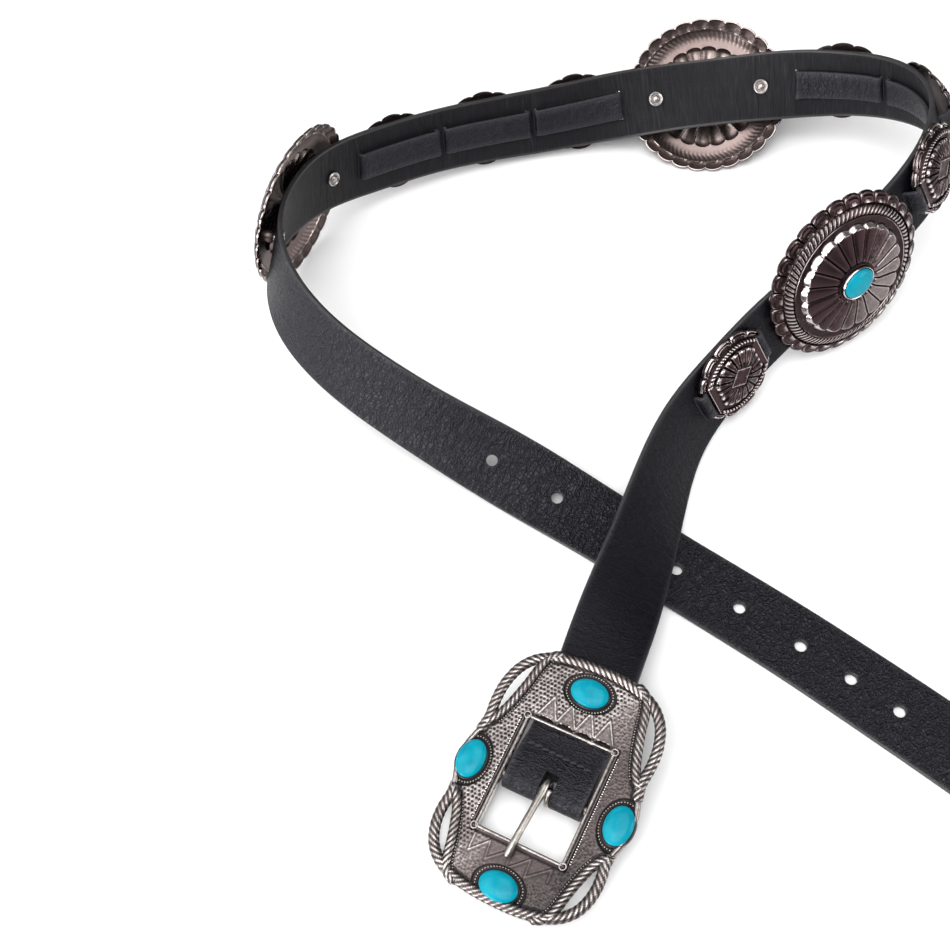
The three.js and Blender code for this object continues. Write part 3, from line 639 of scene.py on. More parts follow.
def round_hole(centre, radius, lip=0.25):
    """Ring of cells from a 10 x 10 mm square of the grid to a round hole."""
    i0 = int(np.argmin(np.abs(s_all[n_fold:] - (centre - 5)))) + n_fold
    i1 = i0 + 10
    sq = [(i0 + k, 5 - 10) for k in range(10)]
    border = []           # (row offset, y) counter-clockwise seen from the front
    for k in range(10):
        border.append((k, -5))
    for k in range(10):
        border.append((10, -5 + k))
    for k in range(10):
        border.append((10 - k, 5))
    for k in range(10):
        border.append((0, 5 - k))
    ang = np.array([math.atan2(y, x - 5) for x, y in border])
    bx = np.array([x - 5 for x, _ in border], float)
    by = np.array([y for _, y in border], float)
    for back in (False, True):
        ring0 = [(i0 + x) * K + col_of(y, back) for x, y in border]
        for dx in range(10):
            for dy in range(-5, 5):
                c = col_of(dy, back) if not back else col_of(dy + 1, back)
                skip.add((i0 + dx, c))
        prev = ring0
        sgn = -1.0 if back else 1.0
        steps = [(0.55, 1.0, 0.0), (0.22, 1.0, 0.0), (0.0, 1.0, 0.25), (0.0, 0.9, 0.8), (0.0, 0.7, 1.0)]
        if back:
            steps = [(0.5, 1.0, 0.0), (0.15, 1.0, 0.0), (0.0, 1.0, 0.2), (0.0, 0.85, 0.7)]
        for t, h, e in steps:
            grow = lip * max(0.0, (h - 0.7) / 0.3) ** 1.5 if t == 0 else lip
            r = radius + grow
            x = r * np.cos(ang) * (1 - t) + bx * t
            y = r * np.sin(ang) * (1 - t) + by * t
            pts = surface_point(i0, i1, centre + x, y, np.full(len(x), sgn * h))
            start = add_points(pts, np.stack([centre + x, y, np.full(len(x), sgn * h)], -1), e)
            ring = list(range(start, start + len(x)))
            for k in range(40):
                k2 = (k + 1) % 40
                f = [prev[k], prev[k2], ring[k2], ring[k]]
                faces.append(f if not back else f[::-1])
                fmat.append(2 if (t == 0 and h < 0.95) else (1 if back else 0))
            prev = ring
        if not back:
            front_last = prev
        else:
            for k in range(40):
                k2 = (k + 1) % 40
                faces.append([front_last[k], front_last[k2], prev[k2], prev[k]])
                fmat.append(2)


def slit(centre, half):
    """Rectangular slit between two rows of the grid, with its four walls."""
    i0 = int(np.argmin(np.abs(s_all[n_fold:] - (centre - 0.95)))) + n_fold
    i1 = int(np.argmin(np.abs(s_all[n_fold:] - (centre + 0.95)))) + n_fold
    cut_cells(i0, i1, -half, half)


def cut_cells(i0, i1, y0, y1):
    for i in range(i0, i1):
        for y in range(y0, y1):
            skip.add((i, col_of(y)))
            skip.add((i, col_of(y + 1, True)))
    border = [(i, y0) for i in range(i0, i1)] + [(i1, y) for y in range(y0, y1)] + \
             [(i, y1) for i in range(i1, i0, -1)] + [(i0, y) for y in range(y1, y0, -1)]
    f = [i * K + col_of(y) for i, y in border]
    b = [i * K + col_of(y, True) for i, y in border]
    for k in range(len(border)):
        k2 = (k + 1) % len(border)
        faces.append([f[k], f[k2], b[k2], b[k]])
        fmat.append(2)


for h in HOLES:
    round_hole(h, HOLE_R)
for kind, c in CONCHOS:
    for side in (-1, 1):
        if kind == "large":
            round_hole(c + side * 22.2, 1.6, 0.15)
        else:
            slit(c + side * 18.1, 6)
# the prong's slot: both plies and round the bar, up to v = 6.5
fv = (P_all[:n_fold] - BUCKLE[0]) @ BUCKLE[1][1]
front_n = (P_all[:n_fold] - BUCKLE[0]) @ BUCKLE[1][2] > BAR_N
near = np.where(fv[:n_fold] < np.where(front_n, 6.7, 5.0))[0]
cut_cells(int(near[0]), int(near[-1]), -3, 2)

I, J = np.meshgrid(np.arange(rows - 1), np.arange(K), indexing="ij")
I, J = I.ravel(), J.ravel()
keep = np.array([(i, j) not in skip for i, j in zip(I.tolist(), J.tolist())])
I, J = I[keep], J[keep]
J2 = (J + 1) % K
quads = np.stack([I * K + J, (I + 1) * K + J, (I + 1) * K + J2, I * K + J2], -1)
qm = np.where(J < NT_ - 1, 0, np.where((J >= NT_ + 8) & (J < 2 * NT_ + 7), 1, 2))
# the rounding at the front belongs to the grain side
qm = np.where(((J >= NT_ - 1) & (J < NT_ + 1)) | (J >= K - 2), 0, qm)
faces = [f[::-1] for f in faces]
faces += quads.tolist()
fmat += qm.tolist()
faces.append([j for j in range(K)][::1])
fmat.append(2)
faces.append([(rows - 1) * K + j for j in range(K)][::-1])
fmat.append(2)
faces[:] = [f[::-1] for f in faces]
st_v = np.concatenate(st_l)
strap = make("belt_strap", np.concatenate(verts_l), faces, [M_FRONT, M_BACK, M_EDGE], fmat,
             {"st": st_v, "edge": np.concatenate(edge_l), "grain": grain_at(st_v[:, 0]),
              "pull": marks_of_wear(st_v[:, 0], st_v[:, 1])}, sharp=50,
             replaces=["strap"], slot="strap_leather")


# ------------------------------------------------- stitches across the fold
def tube_mesh(line, radius, sides=10, up=None, caps=True, squash=1.0):
    """Round tube along a line; radius may vary; returns vertices and faces."""
    line = np.asarray(line, float)
    n = len(line)
    r = np.full(n, radius, float) if np.isscalar(radius) else np.asarray(radius, float)
    t = unit(np.gradient(line, axis=0))
    ref = np.array([0, 0, 1.0]) if up is None else np.asarray(up, float)
    side = unit(np.cross(t, ref))
    nor = np.cross(side, t)
    w = np.linspace(0, 2 * PI, sides, endpoint=False)
    v = line[:, None, :] + r[:, None, None] * (np.cos(w)[None, :, None] * side[:, None, :] + squash * np.sin(w)[None, :, None] * nor[:, None, :])
    v = v.reshape(-1, 3)
    f = grid_faces(n, sides).tolist()
    f = [q[::-1] for q in f]
    if caps:
        f.append(list(range(sides)))
        f.append([(n - 1) * sides + i for i in range(sides)][::-1])
    return v, f


fold_top = [p for p in fold if p[0] > 2.5][-6:]
ft, _, _ = resample(np.array(fold[-7:]), 0.25)


def top_of_ply(v):
    """Height of the front face of the strap inside the window, at v."""
    d = np.gradient(ft, axis=0)
    h = ft[:, 1] + HT / np.cos(np.arctan2(d[:, 1], d[:, 0]))
    return np.interp(v, ft[:, 0], h)


stitches = Parts()
for i in range(9):
    u0 = -11.6 + 2.55 * i
    v0 = 12.4 - 0.10 * i + 0.12 * math.sin(2.1 * i)
    a = np.array([u0, v0 - 0.18]); b = np.array([u0 + 2.1, v0 + 0.28])
    t = np.linspace(0, 1, 11)
    u = a[0] + (b[0] - a[0]) * t
    v = a[1] + (b[1] - a[1]) * t + 0.12 * np.sin(PI * t)
    n = top_of_ply(v) + 0.50 * np.sin(PI * np.clip(t, 0, 1)) ** 0.5 - 0.14
    line = np.stack([u, v, n], -1)
    vv, ff = tube_mesh(line, 0.52 * (0.7 + 0.3 * np.sin(PI * t)), 8, up=(0, 0, 1))
    stitches.add(put(BUCKLE, vv), ff, 0, st=np.stack([vv[:, 0], vv[:, 1], vv[:, 2]], -1))
stitches.make("fold_stitches", [M_THREAD], slot="lace_leather")


# ------------------------------------------- places of conchos on the strap
LARGE_A, LARGE_B, LARGE_SHELL = 33.5, 31.8, 0.9
LARGE_PROFILE = [[1, .9], [.89, 2.9], [.80, 4.8], [.71, 5.4], [.66, 6.9], [.34, 8.8], [.22, 9.2]]
SMALL_A, SMALL_B, SMALL_SHELL = 16.6, 15.6, 0.9
SMALL_PROFILE = [[1, .9], [.86, 2.0], [.78, 3.0], [.68, 2.9], [.60, 3.5], [.28, 4.5]]
SLOT_AT, SLOT_W, SLOT_L, SLIT_AT = 14.6, 2.3, 11.8, 18.1
SCREW_AT, TOP = 22.2, 9.2


def profile_height(profile, rho):
    p = np.array(profile)[::-1]
    return np.interp(rho, p[:, 0], p[:, 1])


def seat(s, a, b, profile, shell, half_run):
    """Height of the rim over the bent strap, as in the solid model."""
    under = [p for i, p in enumerate(profile) if i == 0 or i == len(profile) - 1 or i % 2 == 1]
    o, axes = frame_at(s)
    lift = -20.0
    for t in np.arange(-half_run, half_run + 0.01, 1.5):
        p, _, ac, out = [v[0] for v in strap_frames(s + t)]
        for w in (-1, -0.5, 0, 0.5, 1):
            q = axes @ (p + ac * w * STRAP_W / 2 + out * STRAP_T / 2 - o)
            rho = math.hypot(q[0] / a, q[1] / b)
            if rho > 1.06:
                continue
            low = 0.0 if rho > 0.97 else max(0.0, float(profile_height(under, rho + 0.03)) - shell - 0.15)
            lift = max(lift, q[2] + 1.4 * GAP - low)
    return lift


PLACES = []
_n = {"large": 0, "small": 0}
for kind, s in CONCHOS:
    _n[kind] += 1
    lift = seat(s, LARGE_A, LARGE_B, LARGE_PROFILE, LARGE_SHELL, 36) if kind == "large" else \
        seat(s, SMALL_A, SMALL_B, SMALL_PROFILE, SMALL_SHELL, 18)
    o, axes = frame_at(s)
    PLACES.append((kind, _n[kind], s, lift, (o + axes[2] * lift, axes)))


# --------------------------------------------------------------- the laces
def band(line, across, width, thick, ride_attr=None):
    """Rounded flat band along a line; returns vertices, faces, st, edge."""
    c, _, total = resample(np.concatenate([line, across * 5.0], 1), 0.62)
    pos, acr = c[:, :3], unit(c[:, 3:])
    t = unit(np.gradient(pos, axis=0))
    out = unit(np.cross(t, acr))
    h, w = thick / 2, width / 2
    r = 0.5
    sec = [(-w + r, h), (-w * .7, h * 1.03), (-w * .35, h * 1.07), (0, h * 1.08), (w * .35, h * 1.07), (w * .7, h * 1.03), (w - r, h)]
    for k in (60, 30, 0):
        a = math.radians(k)
        sec.append((w - r + r * math.cos(a), h - r + r * math.sin(a)))
    for k in (0, 30, 60):
        a = math.radians(k)
        sec.append((w - r + r * math.cos(a), -h + r - r * math.sin(a)))
    sec += [(w - r, -h), (w * .5, -h), (0, -h), (-w * .5, -h), (-w + r, -h)]
    for k in (60, 30, 0):
        a = math.radians(k)
        sec.append((-w + r - r * math.cos(a), -h + r - r * math.sin(a)))
    for k in (0, 30, 60):
        a = math.radians(k)
        sec.append((-w + r - r * math.cos(a), h - r + r * math.sin(a)))
    sec = np.array(sec)
    v = pos[:, None] + acr[:, None] * sec[None, :, 0:1] + out[:, None] * sec[None, :, 1:2]
    n, k = v.shape[:2]
    f = grid_faces(n, k).tolist()
    f += [list(range(k))[::-1], [(n - 1) * k + i for i in range(k)]]
    st = np.stack([np.repeat(np.linspace(0, total, n)[:, None], k, 1),
                   np.repeat(sec[None, :, 0], n, 0), np.repeat(sec[None, :, 1], n, 0)], -1).reshape(-1, 3)
    edge = np.clip((np.abs(st[:, 1]) - (w - 0.9)) / 0.9, 0, 1)
    return v.reshape(-1, 3), f, st, edge


for kind, num, s, lift, fr in PLACES:
    if kind == "large":
        continue
    o, axes = frame_at(s)
    base = (o, axes)

    def lace_end(side):
        pts, acr = [], []
        for t, n in [[.55, 0.5], [.55, 1.3], [.85, 1.95], [1.7, 2.15], [2.8, 1.75]]:
            pts.append(put(base, [side * (SLOT_AT + t), 0, lift + n])); acr.append(axes[1])
        for n in (1.4, 0, -2.5):
            q, m = frame_at(s + side * SLIT_AT)
            pts.append(q + m[2] * n); acr.append(m[1])
        return pts, acr

    a_p, a_c = lace_end(-1)
    b_p, b_c = lace_end(1)
    for t in np.linspace(-13, 13, 6):
        q, m = frame_at(s + t)
        a_p.append(q - m[2] * (2.5 + 0.12 * math.cos(t / 13 * PI / 2))); a_c.append(m[1])
    line = np.array(a_p + b_p[::-1]); acr = np.array(a_c + b_c[::-1])
    v, f, st_, ed = band(line, acr, 11.0, 1.6)
    f = [q[::-1] for q in f]
    make("lace_%d_band" % num, v, f, [M_LACE, M_LACE_BACK],
         [0] * len(f), {"st": st_, "edge": ed, "grain": np.full(len(v), 0.35)}, sharp=50, replaces=["lace_%d" % num], slot="lace_leather")

# raised lips of the slits, pressed up by the laces, front and back
lips = Parts()
for kind, num, s, lift, fr in PLACES:
    if kind == "large":
        continue
    for side in (-1, 1):
        at_s = s + side * (SLIT_AT + 1.12)
        q, m = frame_at(at_s)
        for face in (-1, 1):
            y = np.linspace(-6.1, 6.1, 17)
            p, _, ac, out = strap_frames(np.full(17, at_s) - side * 0.25 * (np.abs(y) / 6.1) ** 4)
            line = p + ac * y[:, None] + out * (face * (0.93 + 0.05 * np.cos(y / 6.1 * PI / 2)))[:, None]
            v, f = tube_mesh(line, 0.36 * (0.35 + 0.65 * np.cos(y / 6.3 * PI / 2) ** 0.6), 8, up=m[2])
            # the lips are drawn lighter through their edge value: partly worn leather, partly a painted highlight
            lips.add(v, f, 0 if face > 0 else 1, st=np.stack([np.full(len(v), at_s), np.repeat(y, 8), np.zeros(len(v))], -1), edge=0.8)
lips.make("slit_lips", [M_FRONT, M_BACK], slot="strap_leather")


# --------------------------------------------------------------- the screws
def lathe(rows, sides):
    """Turned body about local z from (radius, height) rows; the ends close."""
    rows = np.asarray(rows, float)
    w = np.linspace(0, 2 * PI, sides, endpoint=False)
    v, f = [], []
    first = rows[0][0] < 1e-6
    last = rows[-1][0] < 1e-6
    core = rows[(1 if first else 0):(len(rows) - 1 if last else len(rows))]
    v = np.stack([core[:, 0:1] * np.cos(w), core[:, 0:1] * np.sin(w), np.repeat(core[:, 1:2], sides, 1)], -1).reshape(-1, 3)
    f = grid_faces(len(core), sides).tolist()
    v = v.tolist()
    if first:
        v.append([0, 0, rows[0][1]])
        i = len(v) - 1
        f += [[i, (k + 1) % sides, k] for k in range(sides)]
    else:
        f.append(list(range(sides))[::-1])
    if last:
        v.append([0, 0, rows[-1][1]])
        i = len(v) - 1
        b = (len(core) - 1) * sides
        f += [[i, b + k, b + (k + 1) % sides] for k in range(sides)]
    else:
        b = (len(core) - 1) * sides
        f.append([b + k for k in range(sides)])
    return np.array(v), f


screw_rows = [(0, -2.86), (.45, -2.83), (.85, -2.74), (1.2, -2.56), (1.42, -2.34), (1.52, -2.12), (1.62, -2.02), (1.85, -1.99),
              (2.12, -2.02), (2.26, -2.12), (2.42, -2.3), (2.62, -2.36), (2.84, -2.28), (3.0, -2.1), (3.09, -1.9), (3.1, -1.72),
              (3.02, -1.58), (2.9, -1.55), (1.2, -1.55), (1.2, 2.6), (0, 2.6)]
screw_cav = np.interp([r for r, _ in screw_rows], [0, 1.3, 1.6, 2.0, 2.25, 2.5, 3.1], [.60, .62, .28, .34, .62, .80, .6])
for kind, num, s, lift, fr in PLACES:
    if kind == "small":
        continue
    for letter, side in (("a", -1), ("b", 1)):
        q, m = frame_at(s + side * SCREW_AT)
        v, f = lathe(screw_rows, 40)
        cav = np.concatenate([np.repeat(screw_cav[1:-1], 40), [screw_cav[0], 0.2]])
        make("screw_%d_%s" % (num, letter), put((q, m), v), f, [M_SCREW], None, {"cav": cav}, sharp=35,
             replaces=["concho_large_%d_screw_%s" % (num, letter)], slot="screw_metal")


# --------------------------------------------------------------- the stones
def cabochon(a, b, h, sides=72):
    rho = np.array([0, .12, .24, .36, .48, .6, .7, .78, .85, .9, .94, .97, .99, 1.0, 1.0, 1.0])
    z = h * (0.30 + 0.58 * np.clip(1 - rho ** 3.2, 0, 1) ** (1 / 1.9) + 0.12 * (1 - rho ** 2))
    z[-2], z[-1] = 0.12 * h, 0.0
    rows = np.stack([rho, z], -1)
    v, f = lathe(np.concatenate([rows, [[0, 0]]]), sides)
    f = [q[::-1] for q in f]
    v[:, 0] *= a
    v[:, 1] *= b
    # cav: low towards the stone's foot, where the stone gets its painted shade
    return v, f, np.clip(v[:, 2] / (0.35 * h), 0, 1)


STONES = [("top", 0, 34.8, "u"), ("bottom", 0, -33.3, "u"), ("left", -26.2, -0.6, "v"), ("right", 26.2, -0.6, "v")]
for name, u, v0, along in STONES:
    a, b = (6.55, 4.7) if along == "u" else (4.7, 6.55)
    v, f, cav = cabochon(a, b, 2.3)
    make("buckle_cabochon_" + name, put(BUCKLE, v + [u, v0, 0.5]), f, [M_STONE], None, {"cav": cav}, sharp=40,
         replaces=["buckle_stone_" + name], slot="turquoise")
for kind, num, s, lift, fr in PLACES:
    if kind == "large":
        v, f, cav = cabochon(6.4, 5.3, 2.2)
        make("concho_cabochon_%d" % num, put(fr, v + [0, 0, TOP + GAP]), f, [M_STONE], None, {"cav": cav}, sharp=40,
             replaces=["concho_large_%d_stone" % num], slot="turquoise")


# ---------------------------------------------------------------- the prong
# one wire: from the tip up the shank, round the bar, and its thinned end
# beside the shank again
shank = [[-24.6, 5.0, .70], [-24.2, 5.05, 1.0], [-23.2, 5.12, 1.24], [-21.5, 5.3, 1.28], [-19, 5.45, 1.22], [-15, 5.3, 1.16], [-11, 4.95, 1.17],
         [-8, 4.6, 1.14], [-5, 4.25, 1.22], [-2.6, 3.85, 1.28], [-.8, 3.56, 1.3]]
wire = [[-1.3 * (v / -24.6) ** 1.2 - .15, v, n, r] for v, n, r in shank]
for i in range(1, 26):
    ph = math.radians(15 * i)
    fall = smooth01((15 * i - 100) / 200)
    wire.append([-.15 + 2.1 * fall, 3.5 * math.sin(ph), 3.5 * math.cos(ph), 1.3 - 0.42 * fall])
    if 15 * i >= 385:
        break
wire[-1][3] = 0.62
wire = np.array(wire, float)
w_line, _, _ = resample(wire, 0.34)
pts = w_line[:, :3] + [0, 0, BAR_N]
rad_w = w_line[:, 3].copy()
ends = np.minimum(np.arange(len(rad_w)), np.arange(len(rad_w))[::-1]) * 0.34
rad_w *= np.sqrt(np.clip(1 - (1 - np.clip(ends / 1.0, 0, 1)) ** 2, 0.04, 1))
tang = unit(np.gradient(pts, axis=0))
side = unit(np.cross(tang, np.cross(np.array([1.0, 0, 0]), tang)))
sides = 24
ww = np.linspace(0, 2 * PI, sides, endpoint=False)
up2 = np.cross(tang, side)
vv = pts[:, None] + rad_w[:, None, None] * (np.cos(ww)[None, :, None] * side[:, None] + np.sin(ww)[None, :, None] * up2[:, None])
ff = [q for q in grid_faces(len(pts), sides).tolist()]
ff += [list(range(sides))[::-1], [(len(pts) - 1) * sides + i for i in range(sides)]]
cavp = np.repeat(0.8 - 0.3 * smooth01((np.abs(np.arange(len(pts)) / len(pts) - 0.72)) < 0.1), sides)
make("prong_wire_loop", put(BUCKLE, vv.reshape(-1, 3)), ff, [M_WIRE], None, {"cav": cavp}, sharp=50, ride="prong",
     replaces=["buckle_prong"], slot="prong_wire")


# -------------------------------------------------------- relief on a grid
def blur(h, ra, rb):
    """Box blur of a height grid; rows end, columns go round."""
    out = np.zeros_like(h)
    for k in range(-rb, rb + 1):
        out += np.roll(h, k, axis=1)
    out /= 2 * rb + 1
    pad = np.concatenate([np.repeat(out[:1], ra, 0), out, np.repeat(out[-1:], ra, 0)])
    acc = np.zeros_like(h)
    for k in range(2 * ra + 1):
        acc += pad[k:k + len(h)]
    return acc / (2 * ra + 1)


def recess(h, ra, rb, reach):
    """1 on what stands proud of its surroundings, 0 deep in a recess."""
    return np.clip(0.5 + (h - blur(h, ra, rb)) / (2 * reach), 0, 1)


def smoothmin(a, b, k):
    h = np.clip(0.5 + 0.5 * (b - a) / k, 0, 1)
    return b * (1 - h) + a * h - k * h * (1 - h)


def arcs(d):
    """Engraved lines of a scallop: d is the distance in from its outline, mm."""
    return 0.14 * groove(d - 0.55, 0.30) - 0.24 * groove(d - 1.12, 0.20) + 0.08 * groove(d - 1.62, 0.24) \
        - 0.13 * groove(d - 2.15, 0.20)


# ------------------------------------------------------- the large conchos
L_COLS, SCALLOPS, PETALS, STRANDS = 560, 28, 20, 88
ROPE_AT, ROPE_HALF = 0.822, 0.0535
L_BASE = [[1, .95], [.89, 2.6], [.875, 2.95], [.80, 4.1], [.76, 4.55], [.70, 4.75], [.2, 5.5]]
th = np.linspace(0, 2 * PI, L_COLS, endpoint=False)


def scallop_edge(w, n, top, depth):
    """Outline factor: round arcs meeting in sharp valleys."""
    ph = (w * n / (2 * PI) + 0.5) % 1.0 - 0.5
    return top - depth * (1 - np.sqrt(np.clip(1 - 3.84 * ph * ph, 0.04, 1))), ph


def petal_tip(w, top, depth):
    pp = (w * PETALS / (2 * PI)) % 1.0 - 0.5
    return top * (1 + depth * (np.sqrt(np.clip(1 - 3.9 * pp * pp, 0.03, 1)) - 1)), pp


def large_top():
    edge, ph = scallop_edge(th, SCALLOPS, 1.0165, 0.052)
    t = np.concatenate([[1.0, .985, .955], np.linspace(.91, 0.05, 14)])
    rho = [0.886 + (edge - 0.886) * k for k in t]
    rho += [np.full(L_COLS, r) for r in
            [.887, .883, .880, .877, .873, .866, .856, .846, .834, .822, .810, .798, .788, .779, .773, .769, .765,
             .761, .757, .752, .744, .732, .718]]
    tip, _ = petal_tip(th, 1.0, 0.075)
    for r in (.704, .697, .692, .6875, .684, .679, .673, .667, .660, .6525, .640):
        rho.append(r * (1 + (tip - 1) * smooth01((.722 - r) / .025)))
    low = 0.640 * tip
    for k in np.linspace(0, 1, 13)[1:]:
        rho.append(low * (1 - k) + 0.262 * k)
    for r in (.252, .243, .236):
        rho.append(np.full(L_COLS, r))
    rho = np.array(rho)
    R, T = rho, np.repeat(th[None], len(rho), 0)
    H = profile_height(L_BASE, R)
    mm = 32.6
    # long smooth lobes round the rim, each with two engraved arcs
    e, ph2 = scallop_edge(T, SCALLOPS, 1.0165, 0.052)
    d1 = (e - R) * mm * 0.94
    d2 = (0.5 - np.abs(ph2)) * 7.2
    d3 = (R - 0.886) * mm + 0.55
    D = smoothmin(d1, d2 * 1.15, 0.8)
    inband = smooth01((R - 0.886) / 0.010)
    dome = 1.05 * np.sqrt(np.clip(D, 0, 3.4) / 3.4) - 0.60 * groove(d2, 0.26) + arcs(D) * smooth01(d3 / 1.2)
    H = H + inband * dome
    # thin line, reeded band of slanted bars, thin line
    H += 0.30 * groove((R - 0.883) * mm, 0.13) - 0.34 * groove((R - 0.876) * mm, 0.16)
    band_ = np.clip(1 - ((R - ROPE_AT) / ROPE_HALF) ** 4, 0, 1)
    phase = T * STRANDS / (2 * PI) + (R - ROPE_AT) / 0.1 * 1.05
    bar = np.abs(np.sin(PI * phase))
    H += band_ ** 0.5 * (0.62 * (smooth01((bar - 0.12) / 0.62) - 0.62) + 0.22 * (1 - ((R - ROPE_AT) / ROPE_HALF) ** 2))
    H += 0.42 * groove((R - 0.760) * mm, 0.15) - 0.22 * groove((R - 0.769) * mm, 0.14)
    # smooth channel round the flower
    H += -0.30 * groove((R - 0.722) * mm, 1.0)
    # the flower: steep bright ends, nearly flat blades, thin deep cuts
    tipR, pp = petal_tip(T, 0.684, 0.075)
    back = (tipR - R) * mm
    inside = np.clip(back / 1.12 + 0.08, 0, 1)
    width = R * 2 * PI * mm / PETALS
    side = (0.5 - np.abs(pp)) * width
    rise = 2.0 + 1.5 * smooth01((0.69 - R) / 0.46)
    crown = 0.34 * (1 - (2 * np.abs(pp)) ** 2.4) * smooth01(0.25 + back / 2.0)
    vee = -0.62 * groove(side, 0.17) - 0.10 * groove(side, 0.6)
    round_ = -0.16 * (1 - smooth01(np.clip(back, 0, 3) / 1.6))
    flower = rise - 0.1 + crown + vee + round_
    H += inside * flower
    H -= 0.34 * groove(back + 0.60, 0.42) * (R < 0.73)
    near = smooth01((R - 0.236) / 0.04)
    H = H * near + (1 - near) * 8.35
    # share of polish: bright ends of the petals, blades in a half tone; painted light makes one side of the concho
    # lighter
    C = recess(H, 3, 9, 0.42)
    C = np.clip(C * 0.9 + 0.1 * recess(H, 1, 3, 0.16), 0, 1)
    blade = smooth01((back - 1.05) / 0.4) * (R < 0.70) * (R > 0.25)
    wear_and_painted_light = np.cos(T + PI / 4)                    # painted light: one side of the concho is drawn lighter, as if lit from there
    tone = 0.545 + 0.135 * wear_and_painted_light + 0.08 * smooth01(1 - back / 4.0) - 0.5 * groove(side, 0.22) + 0.12 * groove(side - 0.5, 0.2)
    C = C * (1 - blade) + blade * np.clip(tone, 0, 1)
    wall_ = np.clip(1 - np.abs(back - 0.44) / 0.78, 0, 1) * (R < 0.73)
    C = np.maximum(C, smooth01(wall_ * 1.6) * 0.97)
    C = np.where((R < .757) & (back < -0.35), 0.40 - 0.3 * groove(back + 0.6, 0.5), C)
    C = np.where((R < .879) & (R > .766), np.clip(0.06 + 0.80 * smooth01((bar - 0.25) / 0.6), 0, 1) * (0.55 + 0.45 * band_), C)
    lobe = inband * smooth01((R - .89) / .01)
    # painted light: the rim lobes are also drawn lighter on that side
    C = np.where(R > .893, np.clip(0.36 + 0.05 * wear_and_painted_light + 0.75 * (C - 0.5) + 0.32 * groove(D - 0.35, 0.3) + 0.16 * smooth01((D - 1.4) / 1.2), 0.02, 1), C)
    return rho, H, C


def large_xy(rho, H_):
    """Semi axes shrink from the oval of the disc to the oval of the bezel."""
    a = LARGE_A * rho
    drop = 0.85 * smooth01((0.34 - rho) / 0.12)
    b = LARGE_B * rho - drop * (rho > 0)
    return a * np.cos(th), b * np.sin(th)


Lrho, LH, Lcav = large_top()
Lx, Ly = large_xy(Lrho, LH)
top_pts = np.stack([Lx, Ly, LH], -1)
# bezel rows, close round the stone (semi axes), then down to the seat
bez = [(7.75, 6.62, 8.45, .25), (7.45, 6.32, 8.6, .1), (7.25, 6.14, 9.35, .6), (7.12, 6.02, 9.85, .95), (6.95, 5.86, 10.1, 1), (6.74, 5.64, 10.05, .9),
       (6.54, 5.44, 9.7, .4), (6.5, 5.4, 9.35, .1), (3.0, 2.5, 9.3, 0)]
bez_pts = np.array([[[a * math.cos(w), b * math.sin(w), z] for w in th] for a, b, z, _ in bez])
bez_cav = np.repeat(np.array([c for *_, c in bez])[:, None], L_COLS, 1)
# underside: rolled rim lobes, hatched ring, cupped backs of the petals
u_t = [1.0, .93, .84, .74, .60, .45, .30, .15]
edge, ph = scallop_edge(th, SCALLOPS, 1.0165, 0.052)
u_rho = [0.886 + (edge - 0.886) * k for k in u_t]
u_rho += [np.full(L_COLS, r) for r in (.884, .872, .850, .834, .818, .800, .782, .75, .715)]
utip, _ = petal_tip(th, 1.0, 0.08)
for r in (.690, .676, .666, .654, .630, .595, .53, .45, .36, .28):
    u_rho.append(r * (1 + (utip - 1) * smooth01((.705 - r) / .02) * smooth01((r - .30) / .2)))
u_rho = np.array(u_rho)
UT = np.repeat(th[None], len(u_rho), 0)
UH = profile_height(L_BASE, u_rho) - 0.85
e, ph2 = scallop_edge(UT, SCALLOPS, 1.0165, 0.052)
D = smoothmin((e - u_rho) * 30.6, (0.5 - np.abs(ph2)) * 7.5, 0.9)
inb = smooth01((u_rho - 0.884) / 0.012)
UH += inb * (0.72 * smooth01((D - 0.5) / 2.4) - 0.05)
hatch = np.abs(np.sin(PI * (UT * STRANDS / (2 * PI) + (u_rho - ROPE_AT) / 0.1 * 1.05)))
UH += 0.20 * np.clip(1 - ((u_rho - ROPE_AT) / 0.06) ** 2, 0, 1) * (hatch - 0.3)
UH -= 0.26 * groove((u_rho - 0.886) * 32.6, 0.5)
tipR, pp = petal_tip(UT, 0.676, 0.08)
ins = smooth01((tipR - u_rho) * 32.6 / 0.7 + 0.1)
cup = 1 - np.clip(2 * np.abs(pp), 0, 1) ** 2
UH += ins * (0.70 + 1.75 * smooth01((0.69 - u_rho) / 0.46) + 1.0 * cup * (0.35 + 0.65 * smooth01((tipR - u_rho) * 32.6 / 1.2)) * (0.45 + 0.55 * smooth01((u_rho - 0.3) / 0.3))
             - 0.25 * groove((0.5 - np.abs(pp)) * u_rho * 10.2, 0.4))
UH[0] = 0.10
UH[1] = 0.0
UH[2] = 0.03
UH[3] = np.minimum(UH[3], 0.4)
Ux, Uy = large_xy(u_rho, UH)
under = np.stack([Ux, Uy, UH], -1)
Ucav = np.clip(1 - recess(UH, 2, 7, 0.55) * 0.9 + 0.05, 0, 1)
Ucav = np.where((u_rho < .884) & (u_rho > .76), 0.46 + 0.34 * (hatch - 0.5), Ucav)
Ucav = np.where((u_rho <= .76) & (ins < 0.05), 0.5, Ucav)
Ucav = np.where(ins > 0.05, np.clip(0.62 - 0.60 * np.exp(-((tipR - u_rho) * 32.6 / 1.5) ** 2) * cup + 0.25 * groove((0.5 - np.abs(pp)) * u_rho * 10.2, 0.5), 0, 1), Ucav)
Ucav = np.where(u_rho > .889, 0.20 + 0.25 * groove((0.5 - np.abs(ph2)) * 7.2, 0.5), Ucav)
Ucav[:3] = 0.8
wall = np.stack([Lx[0] * 1.002, Ly[0] * 1.002, np.full(L_COLS, 0.52)], -1)[None]
